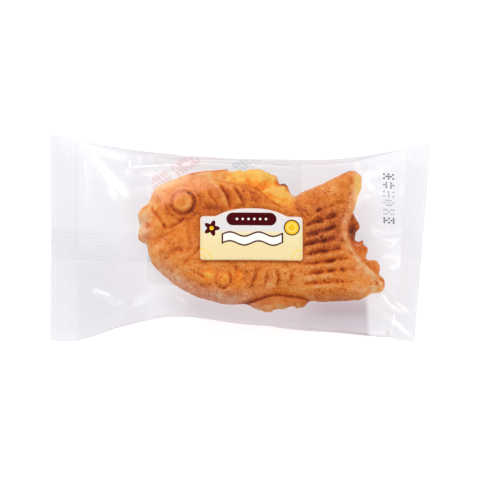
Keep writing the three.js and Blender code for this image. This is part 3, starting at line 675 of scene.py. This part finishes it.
def edge_at(stations, px):
    """Cubic Hermite curve through (x, y) stations, its slope at each the chord of its neighbours."""
    s = np.gradient(stations[:, 1], stations[:, 0])
    s[1:-1] = (stations[2:, 1] - stations[:-2, 1]) / (stations[2:, 0] - stations[:-2, 0])
    i = np.clip(np.searchsorted(stations[:, 0], px) - 1, 0, len(stations) - 2)
    run = stations[i + 1, 0] - stations[i, 0]
    t = np.clip((px - stations[i, 0]) / run, 0, 1)
    r = 1 - t
    return (r * r * (1 + 2 * t) * stations[i, 1] + t * t * (3 - 2 * t) * stations[i + 1, 1]
            + t * r * run * (r * s[i] - t * s[i + 1]))


def slant_at(station):
    """How far a line across the bag leans along X for each millimetre of Y: grows towards the ends."""
    reach = np.clip((np.abs(station) - 25) / np.where(station < 0, 75, 71), 0, None) ** 1.5
    return np.where(station < 0, LEFT_END["slant"], RIGHT_END["slant"]) * reach


def first_tube(stations, around):
    """The bag before it settles: rounded sections from the back fold over the top to the front fold and
    back under, flat at the seals and full in the middle."""
    half, reach = around // 2, -LEFT_END["inner"]
    tube = np.empty((len(stations), around, 3))
    angle = np.linspace(0, np.pi, 181)
    for n, station in enumerate(stations):
        full = 1 - min(abs(station / reach), 1) ** 2.6
        back, front = edge_at(BACK_EDGE, station), edge_at(FRONT_EDGE, station)
        across = np.sign(np.cos(angle)) * np.abs(np.cos(angle)) ** 0.8
        rise = np.sin(angle) ** (1.7 - 0.95 * full)
        py = (back + front) / 2 + across * (back - front) / 2
        fold, top = SEAL_HEIGHT + 3.2 * full, SEAL_HEIGHT + 18.0 * full**0.9
        under = SEAL_HEIGHT * ease(abs(station), 50, reach)
        for side, goal in ((0, top), (1, under)):
            pz = fold + (goal - fold) * np.minimum(rise * (1 + 0.2 * side), 1)
            line = np.stack([station + slant_at(station) * py, py, np.maximum(pz, 0.3)], -1)
            line = line[::-1] if side else line
            run = np.r_[0, np.cumsum(np.linalg.norm(np.diff(line, axis=0), axis=1))]
            even = np.linspace(0, run[-1], half + 1)[:-1]
            tube[n, side * half:(side + 1) * half] = np.stack([np.interp(even, run, c) for c in line.T], -1)
    return tube


def twice(tube):
    """The tube with a point put in the middle of every gap, along and around."""
    along = np.empty((2 * len(tube) - 1, *tube.shape[1:]))
    along[::2], along[1::2] = tube, (tube[1:] + tube[:-1]) / 2
    both = np.empty((len(along), 2 * tube.shape[1], 3))
    both[:, ::2], both[:, 1::2] = along, (along + np.roll(along, -1, 1)) / 2
    return both


def depth_in_field(px, py):
    """Distance in from the edge of the field of film that the sticker holds flat."""
    return np.minimum(FLAT_HALF - np.abs(px - STICKER["x"]), np.minimum(py - FLAT_LOW, FLAT_HIGH - py))


def settle(tube, rounds, stiff, push):
    """Lets the film come to rest, round by round: gas pushes each point along the surface's normal, each
    link between neighbours is drawn to its rest length (hard when stretched, softly when slack, so that
    slack buckles into creases), bending is evened out, and points are put back outside the cake, above
    the floor and within the two side folds. The end rings are sealed and stay where they are, and so does
    the film under the middle of the sticker."""
    n, m = tube.shape[:2]
    half = m // 2
    free = np.ones((n, m, 1))
    free[0] = free[-1] = 0
    upper_sheet = (np.arange(m) < half) & (np.arange(m) > 0)
    px, py = tube[..., 0], tube[..., 1]
    held = (depth_in_field(px, py) > 7) & upper_sheet
    tube[..., 2] = np.where(held, sticker_bed(px, py), tube[..., 2])
    free[held] = 0
    stations = np.linspace(LEFT_END["inner"], RIGHT_END["inner"], n)
    back, front = edge_at(BACK_EDGE, stations), edge_at(FRONT_EDGE, stations)
    lean = np.interp(tube[n // 2, :, 1], (-50, 50), (-4.2, 4.2))[None, :, None]
    across, along = TUBE_GIRTH / m, (TUBE_LENGTH + lean) / (n - 1)
    ties = [(0, 1, across, 1.0, push), (1, 0, along, 1.0, push)]
    ties += [(1, s, np.hypot(across, along), 0.4, 0.4 * push) for s in (1, -1)]
    speed = np.zeros_like(tube)
    shelf = np.maximum(LOWEST_FILM, SEAL_HEIGHT * ease(np.abs(stations), 48, 90) ** 1.1 - 0.2)[:, None]

    def tie(p, di, dj, rest, pull, press):
        """Moves both ends of every second link, then of the others, along it towards its rest length."""
        for first in (0, 1):
            a = p[first:n - 1:2] if di else p[:, first::2]
            b = np.roll(p[first + 1::2], -dj, 1) if di else np.roll(p, -1, 1)[:, first::2]
            wa = free[first:n - 1:2] if di else free[:, first::2]
            wb = np.roll(free[first + 1::2], -dj, 1) if di else np.roll(free, -1, 1)[:, first::2]
            gap = b - a
            size = np.linalg.norm(gap, axis=-1, keepdims=True) + 1e-9
            error = (size - rest) / size
            shift = gap * error * np.where(error > 0, pull, press) / (wa + wb + 1e-9)
            if di:
                p[first:n - 1:2] += shift * wa
                p[first + 1::2] -= np.roll(shift * wb, dj, 1)
            else:
                q = np.zeros_like(p)
                q[:, first::2] = shift * wa
                r = np.zeros_like(p)
                r[:, first::2] = -shift * wb
                p += q + np.roll(r, 1, 1)

    for _ in range(rounds):
        run = np.zeros_like(tube)
        run[1:-1] = tube[2:] - tube[:-2]
        normal = np.cross(np.roll(tube, -1, 1) - np.roll(tube, 1, 1), run)
        normal /= np.linalg.norm(normal, axis=-1, keepdims=True) + 1e-9
        old = tube
        tube = tube + free * (0.93 * speed + GAS * normal - np.array([0, 0, WEIGHT]))
        for _ in range(3):
            for di, dj, rest, pull, press in ties:
                tie(tube, di, dj, rest, pull, press)
        bend = (np.roll(tube, 1, 1) + np.roll(tube, -1, 1)) / 2 - tube
        bend[1:-1] += (tube[2:] + tube[:-2]) / 2 - tube[1:-1]
        tube = tube + free * stiff * bend
        px, py, pz = tube[..., 0], tube[..., 1], tube[..., 2]
        u = np.clip((px - x[0, 0]) / CELL, 0, hull_top.shape[0] - 1.001)
        v = np.clip((py - y[0, 0]) / CELL, 0, hull_top.shape[1] - 1.001)
        i, j = u.astype(int), v.astype(int)
        fu, fv = u - i, v - j
        look = lambda g: ((g[i, j] * (1 - fu) + g[i + 1, j] * fu) * (1 - fv)
                          + (g[i, j + 1] * (1 - fu) + g[i + 1, j + 1] * fu) * fv)
        beyond = 1.1 * np.hypot(px - np.clip(px, x[0, 0], x[-1, 0]), py - np.clip(py, y[0, 0], y[0, -1]))
        over, under = look(hull_top) - beyond, look(hull_low) + beyond
        pz[:, 1:half] = np.maximum(pz, over)[:, 1:half]
        pz[:, half + 1:] = np.minimum(pz, np.maximum(under, LOWEST_FILM))[:, half + 1:]
        pz = np.maximum(pz, shelf)
        gap = np.maximum(0.4 - (pz[:, 1:half] - pz[:, :half:-1]), 0) / 2
        pz[:, 1:half] += gap
        pz[:, :half:-1] -= gap
        firm = ease(depth_in_field(px, py), -1, 3)
        pz = pz + (sticker_bed(px, py) - pz) * firm * upper_sheet
        py = py - 0.5 * np.maximum(py - back[:, None], 0) + 0.5 * np.maximum(front[:, None] - py, 0)
        tube = np.where(free > 0, np.stack([px, py, np.maximum(pz, shelf)], -1), old)
        speed = tube - old
        speed *= np.minimum(1, 0.6 / (np.linalg.norm(speed, axis=-1, keepdims=True) + 1e-9))
    return tube


def widest(grid, cells):
    """The highest value within so many cells, along both axes."""
    for axis in (0, 1):
        grid = np.max([np.roll(grid, k, axis) for k in range(-cells, cells + 1)], 0)
    return grid


# What keeps the film off the cake: its heights, smoothed, and a skirt that falls away round it.
skirt = np.minimum(spill, 0) * 1.1
roof = SEAM + np.where(spill > 0, upper, 1.2) + skirt
keel = -np.maximum(SEAM - lower, LOWEST_CAKE) * (spill > 0) - (SEAM - 1.2 - skirt) * (spill <= 0)
hull_top = blurred(widest(roof, 2), 10) + 0.3
hull_low = -blurred(widest(keel, 2), 10) - 0.3
on_sticker = 1 - ease(off_sticker, 0.5, 6)
hull_top = hull_top * (1 - on_sticker) + np.minimum(hull_top, sticker_bed(x, y) - 0.2) * on_sticker

# The film settles on a coarse mesh and then on two finer ones. What is left of the mesh's own pattern is
# smoothed away, more so where the film is taut near the right front corner, and creases are laid on.
tube = first_tube(np.linspace(LEFT_END["inner"], RIGHT_END["inner"], 45), 56)
tube = settle(tube, 160, 0.012, 0.2)
tube = settle(twice(tube), 120, 0.015, 0.3)
tube = settle(twice(tube), 70, 0.02, 0.4)
half = tube.shape[1] // 2
ends = tube[[0, -1]]
for _ in range(3):
    tube = (np.roll(tube, 1, 1) + 2 * tube + np.roll(tube, -1, 1)) / 4
    tube[[0, -1]] = ends
    tube[1:-1] = (tube[2:] + 2 * tube[1:-1] + tube[:-2]) / 4
corner = ease(tube[..., 0], 66, 74) * ease(-tube[..., 1], 28, 36) * (1 - ease(tube[..., 0], 77, 80))
off_fold = np.abs(np.arange(2 * half) % half - half // 2)
corner = (corner * (1 - ease(off_fold, half // 2 - 5, half // 2 - 1)))[..., None]
for _ in range(8):
    even = (np.roll(tube, 1, 1) + np.roll(tube, -1, 1)) / 4 + np.vstack([tube[:1], tube[:-1]]) / 4
    tube = tube + corner * (even + np.vstack([tube[1:], tube[-1:]]) / 4 - tube)
# Painted highlights: along each crease the film is made clearer and more mirroring.
taut = np.zeros(tube.shape[:2])
for line, start, end, height, highlight in CREASES:
    near = crease_at(line, start, end, tube[..., 0], tube[..., 1])
    taut = np.maximum(taut, highlight * near)
    tube[:, 1:half, 2] += (height * near)[:, 1:half]


def sheet_at(side, px, py):
    """Height of the upper (0) or lower (1) film over points of the plan, ring by ring, then along."""
    rows = tube[:, :half + 1] if side == 0 else np.concatenate([tube[:, half:], tube[:, :1]], 1)[:, ::-1]
    rows = rows[:, ::-1]
    px, py = np.asarray(px, float), np.asarray(py, float)
    xs = np.stack([np.interp(py.ravel(), ring[:, 1], ring[:, 0]) for ring in rows])
    zs = np.stack([np.interp(py.ravel(), ring[:, 1], ring[:, 2]) for ring in rows])
    flat = [np.interp(v, xs[:, k], zs[:, k]) for k, v in enumerate(px.ravel())]
    return np.reshape(flat, px.shape)


def film_finish(name, tint, gloss, haze=0.0):
    """Clear film: it lets light through with a slight tint, more dimly where it is seen along its skin,
    mirrors its surroundings by Fresnel's rule, and scatters a little where it is crimped. A painted shadow
    darkens it, and painted highlights along the creases make it clearer and more mirroring."""
    material, w = new_finish(name)
    place = w.make("TexCoord", output=3)
    crinkle = w.make("TexNoise", Vector=place, Scale=110.0, Detail=3.0, Roughness=0.55)
    bump = w.make("Bump", Strength=0.35, Distance=0.0012, Height=crinkle)
    skin = w.make("Fresnel", IOR=1.45, Normal=bump)
    edgewise = w.make("LayerWeight", output=1, Blend=0.5, Normal=bump).step(0.2, 0.95)
    taut = w.painted("taut")
    clear = w.make("BsdfTransparent", Color=tint)
    # The painted shadow darkens the film, and the painted crease highlights clear it.
    for amount, colour in ((edgewise, (0.80, 0.77, 0.81)), (w.painted("doubled"), (0.68, 0.62, 0.66)),
                           (taut, (0.985, 0.985, 0.99))):
        clear = w.make("MixShader", _0=amount, _1=clear, _2=w.make("BsdfTransparent", Color=colour))
    mirror = w.make("BsdfAnisotropic", Color=(1.0, 1.0, 1.0), Roughness=gloss, Normal=bump)
    # The painted crease highlights also make the film mirror more.
    pane = w.make("MixShader", _0=(skin - 0.019 + taut * 0.05).under(0.2), _1=clear, _2=mirror)
    if haze:
        milk = w.make("BsdfDiffuse", Color=(0.72, 0.72, 0.75))
        pane = w.make("MixShader", _0=haze * w.painted("milky"), _1=pane, _2=milk)
    w.make("OutputMaterial", Surface=pane)
    return material


def ring_faces(n, m, closed=True):
    """Quads of an n by m grid whose second direction may close on itself."""
    ids = np.arange(n * m).reshape(n, m)
    ids = np.concatenate([ids, ids[:, :1]], 1) if closed else ids
    return np.stack([ids[:-1, :-1], ids[:-1, 1:], ids[1:, 1:], ids[1:, :-1]], -1).reshape(-1, 4)


clear_film = film_finish("clear_film", (0.918, 0.920, 0.938), 0.13)
film = new_piece("film", tube.reshape(-1, 3), ring_faces(*tube.shape[:2]), clear_film)
# Painted shadow: the film is darkened in a band along its front edge under the cake, where the cake's shadow
# falls, ending near x = 66, and a little at the left.
px, py = tube[..., 0], tube[..., 1]
within_shadow_band = 1 - ease(px + 0.08 * (py + 40), 64.8, 67.2)
doubled = ease(px, -52, -20) * within_shadow_band * ease(-py, 29, 38) * (0.42 + 0.34 * ease(px, 10, 50))
doubled = doubled * (np.arange(2 * half) < half + 6)
doubled = doubled + 0.3 * ease(px, 25, 50) * within_shadow_band * hump(np.abs(py + 38), 7)
doubled = doubled + 0.12 * ease(-px, 46, 70) * ease(-py, 0, 24)
doubled = doubled + 0.06 * ease(px, -63, -57) * (1 - ease(px, -51, -46))
paint(film, "doubled", doubled.ravel())
paint(film, "taut", taut.ravel())
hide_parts("bag")


# ---- The seals -------------------------------------------------------------------------------------
# Both ends are crimped by ribbed jaws, which leaves fine ribs across the bag; a third seal, folded flat
# against the underside, runs the bag's whole length.
RIB = 1.3  # pitch of the ribs
FIN_RIB, FIN_BAND = 1.6, 1.9  # pitch of the fin seal's ribs and of its milky bands
FIN_EDGES = (-11.7, 3.9)


def end_seal(end, seed):
    """A ribbed strip: X runs from the seal's inner to its outer edge, and height adds a sine of one rib
    pitch, the slow curl of the edge and small dents. Also tells how milky each point is: in the ribs'
    hollows, across the fin seal too, and unevenly."""
    u, v = np.meshgrid(np.linspace(0, 1, 97), np.linspace(0, 1, 181), indexing="ij")
    station = end["inner"] + (end["outer"] - end["inner"]) * u
    back, front = edge_at(BACK_EDGE, station) + 0.1, edge_at(FRONT_EDGE, station) - 0.1
    py = front + (back - front) * v
    grip = ease(u, 0.0, 0.06)
    pz = (SEAL_HEIGHT + 0.2 * np.sin(2 * np.pi * (station - end["inner"]) / RIB) * grip
          + 0.9 * u * np.sin(py / 17 + np.sign(station)) + 0.35 * mottle(station, py, 7, seed) * grip)
    points = np.stack([station + slant_at(station) * py, py, pz], -1)
    faces = ring_faces(*u.shape, closed=False)
    ribs = 0.5 + 0.5 * np.cos(2 * np.pi * (station - end["inner"]) / RIB)
    on_fin = ease(py, -12.2, -11.4) * (1 - ease(py, 3.6, 4.4))
    milky = (0.25 + 0.4 * ribs * (1 + mottle(station, py, 12, seed + 4)) * (1 - 0.6 * on_fin)
             + on_fin * (1.2 if end["outer"] < 0 else 0.4) * (0.5 + 0.5 * np.cos(2 * np.pi * py / FIN_BAND)))
    return points.reshape(-1, 3), faces[:, ::-1] if end["outer"] > 0 else faces, milky.ravel()


crimped_film = film_finish("crimped_film", (0.812, 0.804, 0.832), 0.2, haze=0.08)
fin_film = film_finish("fin_film", (0.996, 0.995, 0.998), 0.2, haze=0.06)
for name, end, seed in (("left_seal", LEFT_END, 71), ("right_seal", RIGHT_END, 72)):
    points, faces, milky = end_seal(end, seed)
    seal = new_piece(name, points, faces, crimped_film)
    px, py = points[:, 0], points[:, 1]
    paint(seal, "milky", milky)
    # Darker towards the left seal's outer edge and its front half, on the same layer as the painted shadow.
    paint(seal, "doubled", 0.16 * ease(-px, 91, 98) + 0.06 * ease(-py, 0, 30) * (px < 0))
    paint(seal, "taut", np.max([highlight * crease_at(line, start, end, px, py)
                                for line, start, end, _, highlight in CREASES], 0))

run, across = np.meshgrid(np.linspace(-99.6, 95.6, 261), np.linspace(*FIN_EDGES, 33), indexing="ij")
below = sheet_at(1, np.clip(run, -84.9, 84.4), across)
below = np.where(np.abs(run) > 84, SEAL_HEIGHT - 0.3, below)
height = np.maximum(below - 0.25 + 0.06 * np.sin(2 * np.pi * across / FIN_RIB), 0.05)
fin = new_piece("fin_seal", np.stack([run, across, height], -1).reshape(-1, 3),
                ring_faces(*run.shape, closed=False)[:, ::-1], fin_film)
milky = (0.12 + 1.6 * ease(-run, 66, 78)) * (0.5 + 0.5 * np.cos(2 * np.pi * across / FIN_BAND))
paint(fin, "milky", milky.ravel())


# ---- The sticker -----------------------------------------------------------------------------------
# Coated paper, die-cut as a plaque with an arched top, stuck to the bag over the cake and printed with
# plain fields and simple shapes.
def plaque_edge():
    """Outline of the plaque, anticlockwise: a rectangle with rounded corners and an arch on its top side,
    whose drop from its crown grows as the 2.5th power of the distance from the middle."""
    half, r = STICKER["length"] / 2, STICKER["corner"]
    low, high = STICKER["y"] - STICKER["width"] / 2, STICKER["y"] + STICKER["width"] / 2
    turn = np.linspace(0, np.pi / 2, 7)
    corner = lambda cx, cy, start: np.stack([cx + r * np.cos(start + turn),
                                             cy + r * np.sin(start + turn)], -1)
    across = np.linspace(half - r - 0.5, -half + r + 0.5, 61)
    arch = STICKER["arch"] * np.clip(1 - (np.abs(across) / STICKER["arch_half"]) ** 2.5, 0, 1)
    top = np.stack([across, high + arch], -1)
    loop = np.vstack([corner(-half + r, low + r, np.pi), corner(half - r, low + r, 1.5 * np.pi),
                      corner(half - r, high - r, 0), top, corner(-half + r, high - r, 0.5 * np.pi)])
    loop = np.vstack([loop, loop[:1]])
    run = np.r_[0, np.cumsum(np.linalg.norm(np.diff(loop, axis=0), axis=1))]
    even = np.linspace(0, run[-1], 241)[:-1]
    return np.stack([np.interp(even, run, loop[:, 0]), np.interp(even, run, loop[:, 1])], -1)


def plaque_mesh():
    """Rings of the outline drawn in towards the middle, over the top and back under, closed at both poles."""
    edge = plaque_edge()
    middle = np.array([0.0, STICKER["y"]])
    rings = [(1 - 0.1 * k, 1.0) for k in range(9, 0, -1)]
    rings += [(0.997, 1.0), (1.0, 0.7), (1.0, 0.3), (0.997, 0.0)]
    rings += [(1 - 0.1 * k, 0.0) for k in range(1, 10)]
    flat = np.stack([middle + (edge - middle) * scale for scale, _ in rings])
    lift = np.array([level for _, level in rings])[:, None] * np.ones(len(edge))
    flat = np.concatenate([flat.reshape(-1, 2), middle[None], middle[None]])
    lift = np.concatenate([lift.ravel(), [1.0, 0.0]])
    px, py = flat[:, 0] + STICKER["x"], flat[:, 1]
    points = np.stack([px, py, sticker_bed(px, py) + 0.06 + STICKER["thickness"] * lift], -1)
    faces = ring_faces(len(rings), len(edge))[:, ::-1]
    tip, n, m = len(points) - 2, len(rings), len(edge)
    first, last = np.arange(m), (n - 1) * m + np.arange(m)
    caps = [np.stack([first, np.roll(first, -1), np.full(m, tip)], -1),
            np.stack([np.roll(last, -1), last, np.full(m, tip + 1)], -1)]
    return points, faces, np.vstack(caps)


def sticker_print():
    """White paper warming to pale yellow at the foot, with a cream border, a maroon bar of dots, a wavy
    white ribbon, a flower, a yellow disc and quarter rings in the corners, each a mask of the distance to
    its shape."""
    material, w = new_finish("sticker_print")
    place = w.make("TexCoord", output=3)
    px = w.make("SeparateXYZ", _0=place) * 1000 - STICKER["x"]
    py = w.make("SeparateXYZ", output=1, _0=place) * 1000
    soft = 0.09
    fill = lambda away: 1 - away.step(-soft, soft)
    ring = lambda cx, cy: w.maths("SQRT", (px - cx) * (px - cx) + (py - cy) * (py - cy))
    size = lambda wire: w.maths("ABSOLUTE", wire)
    maroon, yellow, white = srgb(73, 4, 10), srgb(243, 192, 40), srgb(246, 245, 238)
    border = py.step(9.0, -4.0).mix(srgb(235, 220, 209), srgb(240, 220, 168))
    cream = py.step(0.0, -10.0).mix(srgb(241, 225, 180), srgb(240, 220, 168))
    panel = py.step(0.8, -1.6).mix(srgb(226, 222, 222), cream)
    arch = (1 - w.maths("POWER", size(px) / STICKER["arch_half"], 2.5)).over(0.0) * STICKER["arch"]
    crest = STICKER["y"] + STICKER["width"] / 2 + arch
    ground = fill((size(px) - 25.4).over(py - crest + 1.1)).mix(border, panel)
    for side in (-1, 1):
        reach = ring(side * STICKER["length"] / 2, STICKER["y"] - STICKER["width"] / 2)
        arc = size(w.maths("PINGPONG", reach + 0.2, 1.5)) - 0.45
        ground = (fill(arc) * fill(reach - 6.2) * 0.8).mix(ground, srgb(248, 214, 96))
    past, up = (size(px) - 9.6).over(0.0), py - 6.1
    pill = w.maths("SQRT", past * past + up * up) - 3.4
    ground = fill(pill).mix(ground, maroon)
    beside = w.maths("PINGPONG", px + 1.5, 1.5)
    bead = w.maths("SQRT", beside * beside + up * up) - 0.62
    ground = (fill(bead) * fill(size(px) - 9.4)).mix(ground, white)
    wave = py + 4.2 - w.maths("SINE", px * 0.42) * 1.1
    ribbon = (size(wave) - 1.9).over(size(px - 0.5) - 15.1)
    ground = fill(ribbon - 0.85).mix(ground, maroon)
    ground = fill(ribbon).mix(ground, white)
    angle = w.maths("ARCTAN2", py - 1.2, px + 20.6)
    flower = ring(-20.6, 1.2)
    ground = fill(flower - (3.3 + 0.95 * w.maths("SINE", angle * 5.0 + 1.6))).mix(ground, maroon)
    ground = fill(flower - 1.1).mix(ground, yellow)
    disc = ring(20.9, 1.8)
    ground = fill(disc - 4.2).mix(ground, maroon)
    ground = fill(disc - 3.6).mix(ground, yellow)
    ground = fill(size(disc - 2.2) - 0.35).mix(ground, srgb(250, 220, 110))
    grain = w.make("TexNoise", Vector=place, Scale=1500.0, Detail=2.0)
    bump = w.make("Bump", Strength=0.08, Distance=0.0002, Height=grain)
    surface = w.make("BsdfPrincipled", Base_Color=ground, Roughness=0.5 + 0.1 * grain, Normal=bump,
                     Specular_IOR_Level=0.06)
    w.make("OutputMaterial", Surface=surface)
    return material


points, *faces = plaque_mesh()
sticker = new_piece("sticker", points, faces, sticker_print())
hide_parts("label")


# ---- The stamped mark ------------------------------------------------------------------------------
# A column of small dot-matrix marks inked on the film near the tail end, paler in the middle.
MARKS = [  # rows of dots, how dark
    ("x.x.x/.xxx./x.x.x", 1.0), (".x.x./xx.xx/.x.x.", 0.75), ("x.x.x/..x../x.x.x", 0.4),
    (".xxx./x.x.x/.xxx.", 0.3), ("xx.xx/..x../xx.xx", 0.35), ("x.x.x/xx.xx/x.x.x", 1.0)]


def mark_dots():
    """Centres of the ink dots and how dark each is: rows of up to five dots 1.25 mm apart, the rows
    1.15 mm apart, and a mark every 4.7 mm down from the first."""
    dots = []
    for n, (mark, dark) in enumerate(MARKS):
        for row, line in enumerate(mark.split("/")):
            dots += [(75.4 + 1.25 * k, 33.0 - 4.7 * n - 1.15 * row, dark)
                     for k, c in enumerate(line) if c == "x"]
    return np.array(dots)


dots = mark_dots()
turn = np.linspace(0, 2 * np.pi, 9)[:-1]
px = dots[:, :1] + 0.6 * np.cos(turn)
py = dots[:, 1:2] + 0.5 * np.sin(turn)
points = np.stack([px, py, sheet_at(0, px, py) + 0.06], -1).reshape(-1, 3)
faces = np.arange(len(points)).reshape(-1, len(turn))


def ink_finish():
    """Thin grey ink, whose strength is painted on each dot."""
    material, w = new_finish("stamp_ink")
    blot = w.make("TexNoise", Vector=w.make("TexCoord", output=3), Scale=1200.0)
    colour = (w.painted("dark") * (0.75 + 0.4 * blot)).mix(srgb(214, 218, 228), srgb(64, 66, 78))
    w.make("OutputMaterial", Surface=w.make("BsdfPrincipled", Base_Color=colour, Roughness=0.5))
    return material


stamp = new_piece("stamped_mark", points, faces, ink_finish())
paint(stamp, "dark", np.repeat(dots[:, 2], len(turn)))


# ---- The floor and the lights ----------------------------------------------------------------------
# White table that glows enough to stay white round the pack; a soft light from behind on the left, a wide
# one in front, a small one low at each end; and dim surroundings, so that the film mirrors light and dark.
def floor_finish():
    """White, lit from below as well as from above."""
    material, w = new_finish("white_table")
    grain = w.make("TexNoise", Vector=w.make("TexCoord", output=3), Scale=40.0)
    colour = grain.mix((0.49, 0.49, 0.49), (0.51, 0.51, 0.51))
    surface = w.make("BsdfPrincipled", Base_Color=colour, Roughness=0.9, Emission_Color=(1.0, 1.0, 1.0),
                     Emission_Strength=0.66, Specular_IOR_Level=0.0)
    w.make("OutputMaterial", Surface=surface)
    return material


mesh = bpy.data.meshes.new("floor")
mesh.from_pydata([(-4, -4, 0), (4, -4, 0), (4, 4, 0), (-4, 4, 0)], [], [(0, 1, 2, 3)])
mesh.materials.append(floor_finish())
floor = bpy.data.objects.new("floor", mesh)
bpy.context.scene.collection.objects.link(floor)


def soft_light(name, place, width, power, mirrored=True):
    """A square light that faces the pack, and shows in the film's gloss if it is mirrored."""
    light = bpy.data.objects.new(name, bpy.data.lights.new(name, "AREA"))
    light.data.size, light.data.energy = width, power
    light.location = place
    toward = -np.array(place) / np.linalg.norm(place)
    light.rotation_euler = (np.arccos(-toward[2]), 0.0, np.arctan2(place[1], place[0]) + np.pi / 2)
    bpy.context.scene.collection.objects.link(light)
    light.visible_glossy = mirrored


soft_light("key", (-0.38, 0.62, 0.68), 0.65, 6.8)
soft_light("fill", (0.25, -0.65, 0.75), 0.9, 4.4, mirrored=False)
soft_light("left", (-0.88, -0.08, 0.45), 0.35, 1.4)
soft_light("right", (0.92, 0.12, 0.36), 0.4, 3.2)
world = bpy.data.worlds.new("surroundings")
world.use_nodes = True
background = world.node_tree.nodes["Background"]
background.inputs["Color"].default_value = (0.98, 0.99, 1.0, 1.0)
background.inputs["Strength"].default_value = 0.26
bpy.context.scene.world = world
bpy.context.scene.view_settings.view_transform = "Standard"
